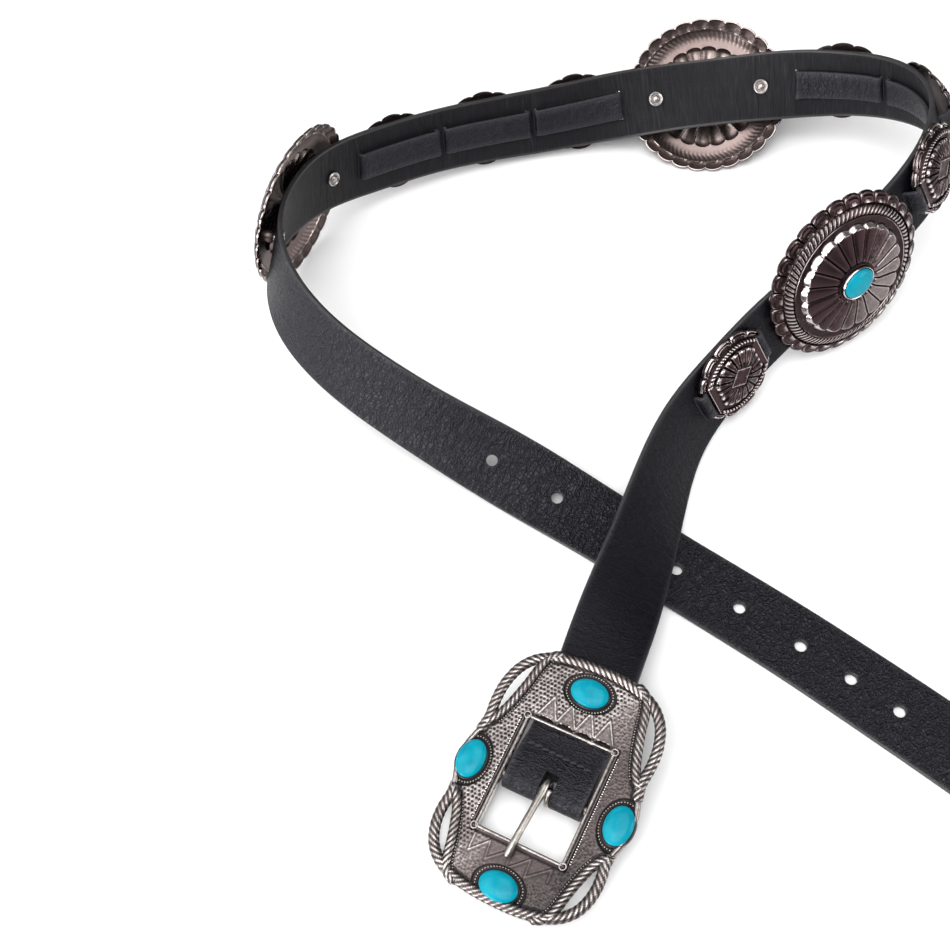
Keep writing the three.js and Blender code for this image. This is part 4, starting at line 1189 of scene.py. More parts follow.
rows_all = np.concatenate([under[::-1], wall, top_pts, bez_pts])
cav_all = np.concatenate([Ucav[::-1], np.full((1, L_COLS), .8), Lcav, bez_cav])
n_under = len(under)
L_grid = grid_faces(len(rows_all), L_COLS)
L_mat = np.where(np.arange(len(L_grid)) // L_COLS < n_under - 4, 1, 0)
last = (len(rows_all) - 1) * L_COLS


HOLLOW = L_BASE


def post_reach(s, side, lift, fr):
    """How far a post runs out of the strap before it meets the dome."""
    q, m = frame_at(s + side * SCREW_AT)
    reach = 1.3
    while reach < 14:
        p = fr[1] @ (q + m[2] * reach - fr[0])
        if p[2] > float(profile_height(HOLLOW, math.hypot(p[0] / LARGE_A, p[1] / LARGE_B))) - 0.75:
            break
        reach += 0.1
    return q, m, reach


for kind, num, s, lift, fr in PLACES:
    if kind == "small":
        continue
    body = Parts()
    v = np.concatenate([rows_all.reshape(-1, 3), [[0, 0, 7.1], [0, 0, 9.3]]])
    f = L_grid.tolist()
    mat = L_mat.tolist()
    c0, c1 = len(v) - 2, len(v) - 1
    f += [[c0, (k + 1) % L_COLS, k] for k in range(L_COLS)]
    mat += [1] * L_COLS
    f += [[c1, last + k, last + (k + 1) % L_COLS] for k in range(L_COLS)]
    mat += [0] * L_COLS
    body.add(put(fr, v), f, mat, cav=np.concatenate([cav_all.ravel(), [0.5, 0.0]]))
    for side in (-1, 1):
        q, m, reach = post_reach(s, side, lift, fr)
        pv, pf = lathe([(1.6, 1.5), (2.25, 1.5), (2.4, 1.65), (2.4, reach), (2.3, reach + 0.1), (0, reach + 0.1)], 24)
        body.add(put((q, m), pv), pf, 1, cav=0.45)
    body.make("concho_large_%d_relief" % num, [M_CONCHO, M_HOLLOW], sharp=48,
              replaces=["concho_large_%d" % num], slot="concho_silver")


# -------------------------------------------------------- the small conchos
S_A, S_B, LENS_A, LENS_B, LENS_X = 18.0, 15.6, 16.6, 12.45, 14.2
LOBES, FLUTES = 12, 20
end_y = np.linspace(-5.9, 5.9, 23)
corner = LENS_B * math.sqrt(1 - (LENS_X / LENS_A) ** 2)


def long_side(n):
    """Lens outline from one cut end over the top to the other."""
    w0 = math.asin(corner / LENS_B)
    w = np.linspace(w0, PI - w0, 400)
    pts = np.concatenate([[[LENS_X, 5.9]], np.stack([LENS_A * np.cos(w), LENS_B * np.sin(w)], -1), [[-LENS_X, 5.9]]])
    d = np.concatenate([[0], np.cumsum(np.linalg.norm(np.diff(pts, axis=0), axis=1))])
    at = np.linspace(0, d[-1], n + 1)
    return np.stack([np.interp(at, d, pts[:, 0]), np.interp(at, d, pts[:, 1])], -1), at / d[-1]


def outer_side(f):
    w = np.linspace(math.radians(12), math.radians(168), 1400)
    e, _ = scallop_edge(w, LOBES, 1.034, 0.075)
    x, y = S_A * e * np.cos(w), S_B * e * np.sin(w)
    x = np.clip(x, -SMALL_A, SMALL_A)
    ok = y > 5.9
    pts = np.concatenate([[[SMALL_A, 5.9]], np.stack([x[ok], y[ok]], -1), [[-SMALL_A, 5.9]]])
    d = np.concatenate([[0], np.cumsum(np.linalg.norm(np.diff(pts, axis=0), axis=1))])
    f = np.asarray(f) * d[-1]
    return np.stack([np.interp(f, d, pts[:, 0]), np.interp(f, d, pts[:, 1])], -1)


NS = 112
lens_s, frac = long_side(NS)
outer_s = outer_side(frac)
inner_cols, outer_cols, in_slot = [], [], []
for y in end_y[:-1]:                       # right end, going up
    inner_cols.append((LENS_X, y)); outer_cols.append((SMALL_A, y)); in_slot.append(1)
for k in range(NS):                        # over the top
    inner_cols.append(lens_s[k]); outer_cols.append(outer_s[k]); in_slot.append(0)
for y in end_y[:-1]:                       # left end, going down
    inner_cols.append((-LENS_X, -y)); outer_cols.append((-SMALL_A, -y)); in_slot.append(1)
for k in range(NS):                        # under the bottom
    inner_cols.append(-lens_s[k]); outer_cols.append(-outer_s[k]); in_slot.append(0)
inner_cols, outer_cols = np.array(inner_cols), np.array(outer_cols)
S_COLS = len(inner_cols)
w_rows = np.array([1.0, .975, .94, .90, .85, .80, .75, .67, .60, .53, .46, .39, .33, .27, .20, .14, .09, .0625])
t_rows = np.concatenate([[1.0, .985, .97, .955, .94, .925, .91, .895, .882, .87, .855, .84, .82, .805, .795, .785, .775, .765, .75, .73, .71, .68],
                         [.64, .59, .54, .49], np.linspace(.445, .21, 13), [.12]])
S_pts = [inner_cols + (outer_cols - inner_cols) * w for w in w_rows] + [inner_cols * t for t in t_rows]
S_pts = np.array(S_pts)


def small_height(P, row_t):
    """Height of the small concho's top over (x, y) and its share of polish;
    row_t is 1 at the lens edge, more outside it, less within."""
    X, Y = P[..., 0], P[..., 1]
    w = np.arctan2(Y / S_B, X / S_A)
    e, ph = scallop_edge(w, LOBES, 1.034, 0.075)
    rho = np.hypot(X / S_A, Y / S_B)
    d1 = (e - rho) * 15.6
    d1 = np.minimum(d1, (SMALL_A - np.abs(X)) + 0.0)
    d2 = (0.5 - np.abs(ph)) * 8.8
    D = smoothmin(d1, d2 * 1.1, 0.7)
    out_of_end = smooth01((np.abs(Y) - 6.1) / 0.8)
    flange = 0.92 + 0.95 * smooth01(np.clip(d1, 0, 4) / 3.2)
    double = 0.34 * groove(D - 0.55, 0.30) - 0.34 * groove(D - 1.05, 0.17) + 0.26 * groove(D - 1.52, 0.24) - 0.36 * groove(D - 2.1, 0.30)
    flange = flange + out_of_end * (0.55 * smooth01(D / 1.2) - 0.55 * groove(d2, 0.30) + double)
    r_t = np.repeat(row_t[:, None], P.shape[1], 1)
    lens_d = (r_t - 1.0) * 12.5                    # mm outside the lens edge
    flange = flange - 0.75 * groove(lens_d - 0.35, 0.40)
    c_out = np.clip(0.34 + out_of_end * (0.95 * groove(D - 0.55, 0.36) + 0.5 * groove(D - 1.52, 0.26) - 0.3 * groove(D - 1.05, 0.2)
                    - 0.4 * groove(d2, 0.4)) - 0.4 * groove(lens_d - 0.4, 0.6), 0, 1)
    # raised rope border on the long sides, a fine line at the cut ends
    is_side = smooth01((np.abs(Y) / np.maximum(r_t, 0.2) - 6.4) / 0.7)
    along = X / np.maximum(r_t, 0.2)
    strands = np.abs(np.sin(PI * (along / 1.42 + np.sign(Y) * (r_t - 0.93) / 0.1 * 0.55)))
    rp = np.clip(1 - ((r_t - 0.938) / 0.060) ** 2, 0, 1)
    lens = 2.5 + 0.30 * smooth01((1 - r_t) / 0.06)
    lens = lens + is_side * rp ** 0.5 * (0.52 + 0.46 * (strands ** 0.8 - 0.4))
    # deep dark bevel inside the rope
    bevel = smooth01((0.885 - r_t) / 0.02) * smooth01((r_t - 0.775) / 0.02)
    lens = lens - is_side * 0.42 * bevel
    lens = lens + (1 - is_side) * (0.30 * groove((r_t - 0.985) * 12.5, 0.20) + 0.05)
    # the fan: convex flutes with round, steep outer ends and thin cuts
    a = np.arctan2(Y / LENS_B, X / LENS_A)
    er = r_t
    fan = (a * FLUTES / (2 * PI)) % 1.0 - 0.5          # cut where |fan| = .5
    width = er * 2 * PI * 13.2 / FLUTES
    side = (0.5 - np.abs(fan)) * width
    tip = 0.790 * (1 + 0.075 * (np.sqrt(np.clip(1 - 3.9 * fan * fan, 0.03, 1)) - 1))
    back = (tip - er) * 12.6
    inner = smooth01(back / 0.45 + 0.15)
    cone = 0.62 + 1.15 * smooth01((0.79 - er) / 0.55)
    flute = 0.50 * (1 - np.clip(2 * np.abs(fan), 0, 1) ** 2.2) * smooth01(0.35 + back / 1.3) * smooth01((er - 0.18) / 0.3)
    cut_ = -0.42 * groove(side, 0.20) + 0.18 * groove(side - 0.42, 0.13)
    lens = lens + inner * (cone + flute + cut_)
    field = smooth01((0.79 - er) / 0.02)
    knob = np.exp(-((back - 0.55) / 0.75) ** 2 - (fan * width / 0.8) ** 2)
    c_in = 0.30 + 0.24 * smooth01((1 - r_t) / 0.1)
    c_in = c_in * (1 - is_side) + is_side * (np.clip(0.10 + 0.9 * smooth01((strands - 0.2) / 0.7), 0, 1) * rp ** 0.3)
    c_in = c_in * (1 - bevel * is_side) + bevel * is_side * 0.10
    c_in = c_in + (1 - is_side) * 0.6 * groove((r_t - 0.985) * 12.5, 0.26)
    c_fan = np.clip(0.29 + 0.34 * groove(side - 0.46, 0.20) - 0.5 * groove(side, 0.24) + 0.9 * knob, 0, 1)
    c_in = c_in * (1 - field) + c_fan * field
    # the diamond in the middle
    dia = 1 - (np.abs(X) / 6.1 + np.abs(Y) / 4.1)
    ds = dia * 3.4                                # mm inside its sides
    plate = smooth01((ds + 0.12) / 0.24)
    lens = lens * (1 - plate) + plate * (4.42 + 0.22 * groove(ds - 0.34, 0.22))
    lens = lens - 0.40 * groove(ds + 0.30, 0.2) * (1 - plate)
    c_in = c_in * (1 - plate) + plate * (0.36 + 0.6 * groove(ds - 0.34, 0.25)) - 0.4 * groove(ds + 0.34, 0.28) * (1 - plate)
    H_ = np.where(r_t >= 0.999, np.where(r_t > 1.0005, flange, 0.5 * (flange + lens)), lens)
    return H_, np.clip(np.where(r_t > 1.0005, c_out, c_in), 0, 1)


row_t = np.concatenate([1 + w_rows * 0.25, t_rows])
# distance outside the lens in the same measure on the long side
SH, Spol = small_height(S_pts, row_t)
Scav = np.clip(0.30 * recess(SH, 3, 5, 0.34) + 0.70 * Spol, 0, 1)
# underside rows, edge to middle
uw = np.array([1.0, .94, .86, .75, .40, .0625])
ut = np.array([.9, .7, .45, .2])
U_pts = np.array([inner_cols + (outer_cols - inner_cols) * w for w in uw] + [inner_cols * t for t in ut])
Uz = np.array([0.0, 0.0, 0.35, 0.6, 1.0, 1.45, 1.9, 2.15, 2.7, 3.3])
under = np.concatenate([U_pts, np.repeat(Uz[:, None], S_COLS, 1)[..., None]], -1)
top_s = np.concatenate([S_pts, SH[..., None]], -1)
wall = np.concatenate([S_pts[0] * 1.0, np.full((S_COLS, 1), 0.5)], -1)[None]
S_all = np.concatenate([under[::-1], wall, top_s])
S_cav = np.concatenate([np.full((len(under), S_COLS), 0.45), np.full((1, S_COLS), 0.8), Scav])
nu = len(under)
ua, ub = nu - 1 - 5, nu - 1 - 3              # under rows of the slot's sides
ta = nu + 1 + int(np.argmin(np.abs(w_rows - 0.75)))
tb = nu + 1 + int(np.argmin(np.abs(w_rows - 0.0625)))
g = grid_faces(len(S_all), S_COLS)
gr, gc = np.arange(len(g)) // S_COLS, np.arange(len(g)) % S_COLS
slot_col = np.array(in_slot, bool)
cut = slot_col[gc] & (((gr >= ua) & (gr < ub)) | ((gr >= ta) & (gr < tb)))
S_faces = g[~cut].tolist()
S_mat = np.where(gr[~cut] < nu - 2, 1, 0).tolist()


def idx(r, c):
    return r * S_COLS + (c % S_COLS)


# walls of the two slots
for start in (0, 22 + NS):
    for c in range(start, start + 22):
        S_faces.append([idx(ta, c), idx(ta, c + 1), idx(ub, c + 1), idx(ub, c)]); S_mat.append(0)
        S_faces.append([idx(tb, c + 1), idx(tb, c), idx(ua, c), idx(ua, c + 1)]); S_mat.append(0)
    u_rows = list(range(ua, ub + 1))
    t_r = list(range(ta, tb + 1))
    for c, turn in ((start, False), (start + 22, True)):
        loop = [idx(r, c) for r in t_r] + [idx(r, c) for r in u_rows]
        S_faces.append(loop[::-1] if turn else loop); S_mat.append(0)
S_v = np.concatenate([S_all.reshape(-1, 3), [[0, 0, 3.4], [0, 0, 4.42]]])
S_c = np.concatenate([S_cav.ravel(), [0.4, 0.62]])
c0, c1 = len(S_v) - 2, len(S_v) - 1
lastS = (len(S_all) - 1) * S_COLS
S_faces += [[c0, (k + 1) % S_COLS, k] for k in range(S_COLS)]
S_mat += [1] * S_COLS
S_faces += [[c1, lastS + k, lastS + (k + 1) % S_COLS] for k in range(S_COLS)]
S_mat += [0] * S_COLS
for kind, num, s, lift, fr in PLACES:
    if kind == "small":
        make("concho_small_%d_relief" % num, put(fr, S_v), S_faces, [M_CONCHO, M_HOLLOW], S_mat, {"cav": S_c}, sharp=48,
             replaces=["concho_small_%d" % num], slot="concho_silver")


# --------------------------------------------------------------- the buckle
EDGE = [[0, 43.6], [5, 43.5], [10, 43.0], [15, 42.0], [19.5, 40.4],
        [23.5, 37.7], [26.7, 33.8], [28.7, 29.0], [29.6, 24.0], [29.6, 19.0],
        [29.1, 14.5], [29.5, 11.0], [30.7, 7.0], [31.6, 3.2]]
EYE = [[20.7, 36.2], [21.3, 31.5], [22.4, 26.0], [23.7, 20.8],
       [25.2, 16.4], [26.5, 20.0], [26.8, 25.0], [25.9, 30.0], [23.6, 34.4]]
INNER_ROPE = [[13.6, 41.6], [16.4, 40.2], [18.3, 37.6], [19.4, 33.6],
              [20.4, 28.6], [21.7, 23.6], [23.2, 18.8], [25.2, 14.6], [28.2, 11.4]]
PLATE_BACK, PLATE_FRONT, ROPE_R, INNER_R = -1.7, 0.7, 1.5, 1.35
WIN_U, WIN_TOP, WIN_LOW = 14.8, 19.5, 18.6
ABOVE, BELOW = 1.043, 0.907


def fitted(rows):
    """The frame is a little longer above its bar than below it."""
    rows = np.asarray(rows, float)
    return np.column_stack([rows[:, 0], rows[:, 1] * np.where(rows[:, 1] > 0, ABOVE, BELOW)])


QUARTERS = [(1, 1), (1, -1), (-1, -1), (-1, 1)]


def mirrored(rows):
    rows = [list(r) for r in rows]
    out = rows + [[u, -v] for u, v in rows][::-1] + [[-u, -v] for u, v in rows] + [[-u, v] for u, v in rows][::-1]
    keep = []
    for i, p in enumerate(out):
        q = out[i - 1]
        if math.hypot(p[0] - q[0], p[1] - q[1]) > 0.05:
            keep.append(p)
    return np.array(keep)


def inset(rows, d):
    t = unit(np.roll(rows, -1, 0) - np.roll(rows, 1, 0))
    return rows + np.stack([t[:, 1], -t[:, 0]], -1) * d


def within(P, poly):
    x, y = P[:, 0], P[:, 1]
    ins = np.zeros(len(P), bool)
    for (x0, y0), (x1, y1) in zip(poly, np.roll(poly, -1, 0)):
        hit = (y0 > y) != (y1 > y)
        if y1 != y0:
            ins ^= hit & (x < (x1 - x0) * (y - y0) / (y1 - y0) + x0)
    return ins


def to_points(P, pts):
    """Distance to the nearest of many points, and which one."""
    best = np.full(len(P), 1e9)
    for i in range(0, len(pts), 64):
        d = ((P[:, None, :] - pts[None, i:i + 64]) ** 2).sum(-1).min(1)
        best = np.minimum(best, d)
    return np.sqrt(best)


def to_segments(P, segs):
    best = np.full(len(P), 1e9)
    for a, b in segs:
        a, b = np.array(a, float), np.array(b, float)
        d = b - a
        t = np.clip(((P - a) @ d) / (d @ d), 0, 1)
        best = np.minimum(best, np.linalg.norm(P - a - t[:, None] * d, axis=1))
    return best


def triangulate(outer, holes, step):
    """Even triangles inside the outer line and outside the holes."""
    lo, hi = outer.min(0), outer.max(0)
    ys = np.arange(lo[1], hi[1], step * 0.866)
    pts = []
    for i, y in enumerate(ys):
        xs = np.arange(lo[0] + (i % 2) * step / 2, hi[0], step)
        pts.append(np.stack([xs, np.full(len(xs), y)], -1))
    pts = np.concatenate(pts)
    ok = within(pts, outer)
    for h in holes:
        ok &= ~within(pts, h)
    pts = pts[ok]
    bound = np.concatenate([outer] + list(holes))
    dense = []
    for loop in [outer] + list(holes):
        nx = np.roll(loop, -1, 0)
        for t in (0, 1 / 3, 2 / 3):
            dense.append(loop * (1 - t) + nx * t)
    pts = pts[to_points(pts, np.concatenate(dense)) > 0.45 * step]
    edges, base = [], 0
    for loop in [outer] + list(holes):
        n = len(loop)
        edges += [(base + i, base + (i + 1) % n) for i in range(n)]
        base += n
    allp = np.concatenate([bound, pts])
    vs, es, fs, *_ = delaunay_2d_cdt([Vector(p) for p in allp.tolist()], edges, [], 0, 1e-7)
    V = np.array([[v[0], v[1]] for v in vs])
    F = np.array([list(f) for f in fs])
    mid = V[F].mean(1)
    ok = within(mid, outer)
    for h in holes:
        ok &= ~within(mid, h)
    F = F[ok]
    a, b, c = V[F[:, 0]], V[F[:, 1]], V[F[:, 2]]
    cr = (b[:, 0] - a[:, 0]) * (c[:, 1] - a[:, 1]) - (b[:, 1] - a[:, 1]) * (c[:, 0] - a[:, 0])
    F[cr < 0] = F[cr < 0][:, ::-1]
    return V, F


outline = fitted(mirrored(EDGE))
outer_loop, _, _ = resample(inset(outline, 0.75), 0.55, closed=True)
eyes = []
for su, sv in QUARTERS:
    e = fitted([[su * u, sv * v] for u, v in EYE])
    if su * sv < 0:
        e = e[::-1]
    e, _, _ = resample(e, 0.5, closed=True)
    eyes.append(e)


def box_loop(hu, low, top, step):
    c = [(-hu, low), (hu, low), (hu, top), (-hu, top)]
    pts = []
    for a, b in zip(c, c[1:] + c[:1]):
        a, b = np.array(a, float), np.array(b, float)
        n = int(round(np.linalg.norm(b - a) / step))
        for i in range(n):
            pts.append(a + (b - a) * i / n)
    return np.array(pts)


window = box_loop(WIN_U, -WIN_LOW, WIN_TOP, 0.6)
rope_out, rope_at, rope_len = resample(inset(outline, ROPE_R + 0.38), 0.27, closed=True)
inner_lines = []
for su, sv in QUARTERS:
    line = fitted([[su * u, sv * v] for u, v in INNER_ROPE])
    first = line[0] + (line[0] - line[1]) * 0.35
    last_ = line[-1] + (line[-1] - line[-2]) * 0.25
    inner_lines.append(resample(np.concatenate([[first], line, [last_]]), 0.27)[0])
BASES = [-13.0, -6.2, 0.6, 7.3, 14.2]
APEX = [-10.0, -3.4, 3.3, 9.9]
ZIG = [(-14.2, -21.4), (-14.0, -27.0), (-8.6, -21.4), (-7.9, -27.4), (-1.2, -21.4), (-0.6, -27.4), (5.6, -21.4), (6.0, -27.4), (13.0, -21.4), (13.2, -25.5)]


def pits(P, cell, radius, depth, jitter, seed):
    g = np.floor(P / cell).astype(int)
    out = np.zeros(len(P))
    for dx in (-1, 0, 1):
        for dy in (-1, 0, 1):
            i, j = g[:, 0] + dx, g[:, 1] + dy
            h1 = np.modf(np.abs(np.sin(i * 12.9898 + j * 78.233 + seed) * 43758.5453))[0]
            h2 = np.modf(np.abs(np.sin(i * 39.346 + j * 11.135 + seed * 1.7) * 24634.6345))[0]
            cx = (i + 0.5 + 0.5 * (j % 2) - 0.25 + jitter * (h1 - 0.5)) * cell
            cy = (j + 0.5 + jitter * (h2 - 0.5)) * cell
            d2 = (P[:, 0] - cx) ** 2 + (P[:, 1] - cy) ** 2
            out = np.minimum(out, -depth * (0.7 + 0.6 * h2) * np.exp(-d2 / radius ** 2))
    return out


def plate_relief(P):
    """Fine relief of the plate's front and its share of polish, with painted shade across it."""
    u, v = P[:, 0], P[:, 1]
    base = 0.18 * (1 - (u / 31) ** 2) + 0.0 * v
    f = np.zeros(len(P))
    coarse = smooth01((4 - u + 0.35 * v) / 9) * smooth01((v + 30) / 8)
    tri_in = np.zeros(len(P))
    tri_seg = []
    for a, b0, b1 in zip(APEX, BASES[:-1], BASES[1:]):
        tri = np.array([[b0 + .1, 21.9], [b1 - .1, 21.9], [a, 29.4]])
        tri_in = np.maximum(tri_in, within(P, tri))
        tri_seg += [((b0 + .1, 21.9), (a, 29.4)), ((a, 29.4), (b1 - .1, 21.9))]
    dseg = to_segments(P, tri_seg)
    dzig = to_segments(P, list(zip(ZIG[:-1], ZIG[1:])))
    st = coarse * pits(P, 1.34, 0.31, 0.56, 0.32, 3.0) + (1 - coarse) * pits(P, 0.86, 0.26, 0.20, 0.8, 9.0)
    quiet = 1 - 0.85 * tri_in * smooth01(dseg / 0.5)
    low_field = smooth01((-20.4 - v) / 0.5) * smooth01((v + 29) / 2) * (np.abs(u) < 15)
    quiet = quiet * (1 - 0.6 * low_field) * (1 - 0.9 * groove(np.minimum(dseg, dzig), 0.75))
    f += st * quiet
    fl = 0.16 * groove(dseg, 0.22) + 0.17 * groove(dzig, 0.22)
    f += fl + 0.05 * tri_in - 0.12 * groove(dseg - 0.55, 0.22)
    f += -0.13 * groove(dzig - 0.55, 0.22)
    # dark arcs over the window's upper rail
    for b0, b1 in zip(BASES[:-1], BASES[1:]):
        c, hw = 0.5 * (b0 + b1), 0.5 * (b1 - b0) - 0.2
        e = np.hypot((u - c) / hw, (v - 20.4) / 1.45)
        f += np.where(v > 19.7, -0.55 * smooth01((1 - e) / 0.25) + 0.22 * groove((e - 1.06) * 1.6, 0.18), 0)
    # round the stones
    for name, su, sv, along in STONES:
        a, b = (6.55, 4.7) if along == "u" else (4.7, 6.55)
        d = (np.hypot((u - su) / a, (v - sv) / b) - 1) * 5.6
        f += np.where(d < 3.6, -0.78 * smooth01((2.45 - d) / 0.6), 0) * 1.0
        st_kill = smooth01((2.6 - d) / 0.6)
        f -= st * quiet * st_kill
    # along the ropes and the rims it is dark
    dr = np.minimum(to_points(P, rope_out[::3]), to_points(P, np.concatenate(inner_lines)[::3]))
    f += -0.32 * smooth01((2.7 - dr) / 0.9)
    q = np.maximum(np.abs(u) - WIN_U, np.where(v > 0, v - WIN_TOP, -v - WIN_LOW))
    f += -0.34 * groove(q - 1.75, 0.42)
    # painted shade: the plate is drawn darker towards its right and its lower end, lighter at the upper left, as the
    # light falls
    tone = 0.71 - 0.32 * smooth01((u - 0.45 * v + 4) / 17) - 0.07 * smooth01((-v - 8) / 14)
    cav = np.clip(tone + (f - 0.45 * fl) / 0.62 - 0.17 * tri_in * smooth01(dseg / 0.5), 0, 1)
    return base + f, cav


V1, F1 = triangulate(outer_loop, [window] + eyes, 0.31)
rel, pcav = plate_relief(V1)
# keep the borders low and clean
front = np.stack([V1[:, 0], V1[:, 1], PLATE_FRONT - 0.12 + rel], -1)
V2, F2 = triangulate(outer_loop, [window] + eyes, 1.7)
backp = np.stack([V2[:, 0], V2[:, 1], np.full(len(V2), PLATE_BACK)], -1)
buckle = Parts()
buckle.add(put(BUCKLE, front), F1.tolist(), 0, cav=pcav)
buckle.add(put(BUCKLE, backp), F2[:, ::-1].tolist(), 0, cav=0.55)
nb = 0
for loop, hole in [(outer_loop, False), (window, True)] + [(e, True) for e in eyes]:
    n = len(loop)
    z0 = front[nb:nb + n, 2]
    # the triangulation keeps the border points in the order they were given
    same = np.abs(V1[nb:nb + n] - loop).max() < 1e-4
    if not same:
        z0 = np.full(n, PLATE_FRONT - 0.4)
    rows = [np.column_stack([loop, z0]), np.column_stack([loop, np.full(n, -0.1)]), np.column_stack([loop, np.full(n, -0.9)]),
            np.column_stack([loop, np.full(n, PLATE_BACK)])]
    v = np.concatenate(rows)
    area2 = ((loop[:, 0] * np.roll(loop[:, 1], -1) - np.roll(loop[:, 0], -1) * loop[:, 1]).sum())
    f = grid_faces(4, n)
    ccw = area2 > 0
    if ccw != hole:
        f = f[:, ::-1]
    buckle.add(put(BUCKLE, v), f.tolist(), 0, cav=0.92 if hole else 0.6)
    nb += n


def rope(line, radius, hand, n0=0.0, height=None, ends=True, starts=5, pitch=2.1, closed=False, sides=22, flat=0.82):
    """Rope of slanting strands along a flat line of (u, v)."""
    m = len(line)
    if closed:
        t = unit(np.roll(line, -1, 0) - np.roll(line, 1, 0))
    else:
        t = unit(np.gradient(line, axis=0))
    seg = np.linalg.norm(np.diff(line, axis=0), axis=1)
    s = np.concatenate([[0], np.cumsum(seg)])
    total = s[-1] + (np.linalg.norm(line[0] - line[-1]) if closed else 0)
    if closed:
        pitch = total / round(total / pitch)
    side = np.stack([t[:, 1], -t[:, 0], np.zeros(m)], -1)
    w = np.linspace(0, 2 * PI, sides, endpoint=False)
    ph = starts * w[None] / (2 * PI) * hand + s[:, None] / pitch
    wave = np.abs(np.sin(PI * ph))
    R = radius * (0.77 + 0.23 * wave ** 0.55)
    if not closed and ends:
        e = np.minimum(s, s[-1] - s)
        R = R * (0.35 + 0.65 * smooth01(e / 1.4))[:, None]
    c = np.column_stack([line, np.full(m, n0) if height is None else height])
    v = c[:, None] + R[..., None] * (np.cos(w)[None, :, None] * side[:, None] + np.sin(w)[None, :, None] * np.array([0, 0, flat]))
    f = grid_faces(m, sides, closed_rows=closed)[:, ::-1].tolist()
    if not closed:
        f += [list(range(sides)), [(m - 1) * sides + i for i in range(sides)][::-1]]
    cav = smooth01((wave - 0.14) / 0.70) * 0.77
    # the sides that face down into the plate are darker
    cav = cav * np.clip(0.45 + 0.75 * np.sin(w)[None] + 0.25, 0.1, 1)
    return v.reshape(-1, 3), f, cav.ravel()


# outer rope in two runs, plain where the side stones sit
for sgn in (1, -1):
    keep = (rope_out[:, 1] + 0.6) * sgn > 8.8
    ids = np.where(keep)[0]
    jump = np.where(np.diff(ids) > 1)[0]
    if len(jump):
        ids = np.concatenate([ids[jump[0] + 1:], ids[:jump[0] + 1]])
    v, f, c = rope(rope_out[ids], ROPE_R * 1.25, sgn)
    buckle.add(put(BUCKLE, v), f, 0, cav=c)
for (su, sv), line in zip(QUARTERS, inner_lines):
    d_end = np.arange(len(line))[::-1] * 0.27
    h = 0.35 - 0.5 * (1 - smooth01(d_end / 5.0))
    v, f, c = rope(line, INNER_R * 1.22, -sv, height=h)
    buckle.add(put(BUCKLE, v), f, 0, cav=c)
# plain rail beside the side stones
for su in (-1, 1):
    keep = (np.abs(rope_out[:, 1] + 0.6) < 9.6) & (rope_out[:, 0] * su > 0)
    ids = np.where(keep)[0]
    line = rope_out[ids][::2]
    line = line + np.stack([np.sign(line[:, 0]) * 0.25, np.zeros(len(line))], -1)
    v, f = tube_mesh(np.column_stack([line, np.full(len(line), -0.25)]), 1.05, 14, up=(0, 0, 1))
    buckle.add(put(BUCKLE, v), f, 0, cav=0.7)

# window rails: bright rods with a fine line outside them, rings in the corners
for su in (-1, 1):
    v_ = np.linspace(-WIN_LOW - 0.4, WIN_TOP + 0.4, 60)
    line = np.stack([np.full(60, su * 15.38), v_, np.full(60, 0.86)], -1)
    v, f = tube_mesh(line, 0.50, 14, up=(0, 0, 1))
    buckle.add(put(BUCKLE, v), f, 0, cav=0.72)
    line = np.stack([np.full(60, su * 16.5), v_ * 0.97, np.full(60, 0.72)], -1)
    v, f = tube_mesh(line, 0.24, 10, up=(0, 0, 1))
    buckle.add(put(BUCKLE, v), f, 0, cav=0.55)
for v_end in (-WIN_LOW - 0.55, WIN_TOP + 0.55):
    u_ = np.linspace(-15.2, 15.2, 46)
    line = np.stack([u_, np.full(46, v_end), np.full(46, 0.82)], -1)
    v, f = tube_mesh(line, 0.50, 14, up=(0, 0, 1))
    buckle.add(put(BUCKLE, v), f, 0, cav=0.72)
for su in (-1, 1):
    for v_end in (-WIN_LOW - 0.7, WIN_TOP + 0.7):
        w = np.linspace(0, 2 * PI, 28, endpoint=False)
        ring = np.array([[(1.08 + 0.34 * math.cos(b)) * math.cos(a), (1.08 + 0.34 * math.cos(b)) * math.sin(a), 0.34 * math.sin(b)]
                         for a in w for b in np.linspace(0, 2 * PI, 12, endpoint=False)])
        f = grid_faces(28, 12, closed_rows=True).tolist()
        buckle.add(put(BUCKLE, ring + [su * 15.6, v_end, 1.06]), f, 0, cav=0.74)
        v, f = lathe([(0, .75), (.75, .75), (.62, 1.2), (.35, 1.38), (0, 1.42)][::1], 18)
        buckle.add(put(BUCKLE, v * [1, 1, 1] + [su * 15.6, v_end, 0]), f, 0, cav=0.3)


def bead(at_, r, flat=0.85):
    rows = [(r, -0.15), (r, 0.0), (r * .88, r * .42 * flat), (r * .62, r * .76 * flat), (r * .3, r * .95 * flat), (0, r * flat)]
    v, f = lathe(rows, 9)
    return v + at_, f


def bead_line(pts, pitch, r, z, closed=False):
    p, _, _ = resample(np.asarray(pts, float), pitch, closed=closed)
    for q in p:
        v, f = bead([q[0], q[1], z], r)
        buckle.add(put(BUCKLE, v), f, 0, cav=np.clip(0.25 + (v[:, 2] - z + 0.15) / (r + 0.15), 0, 1))


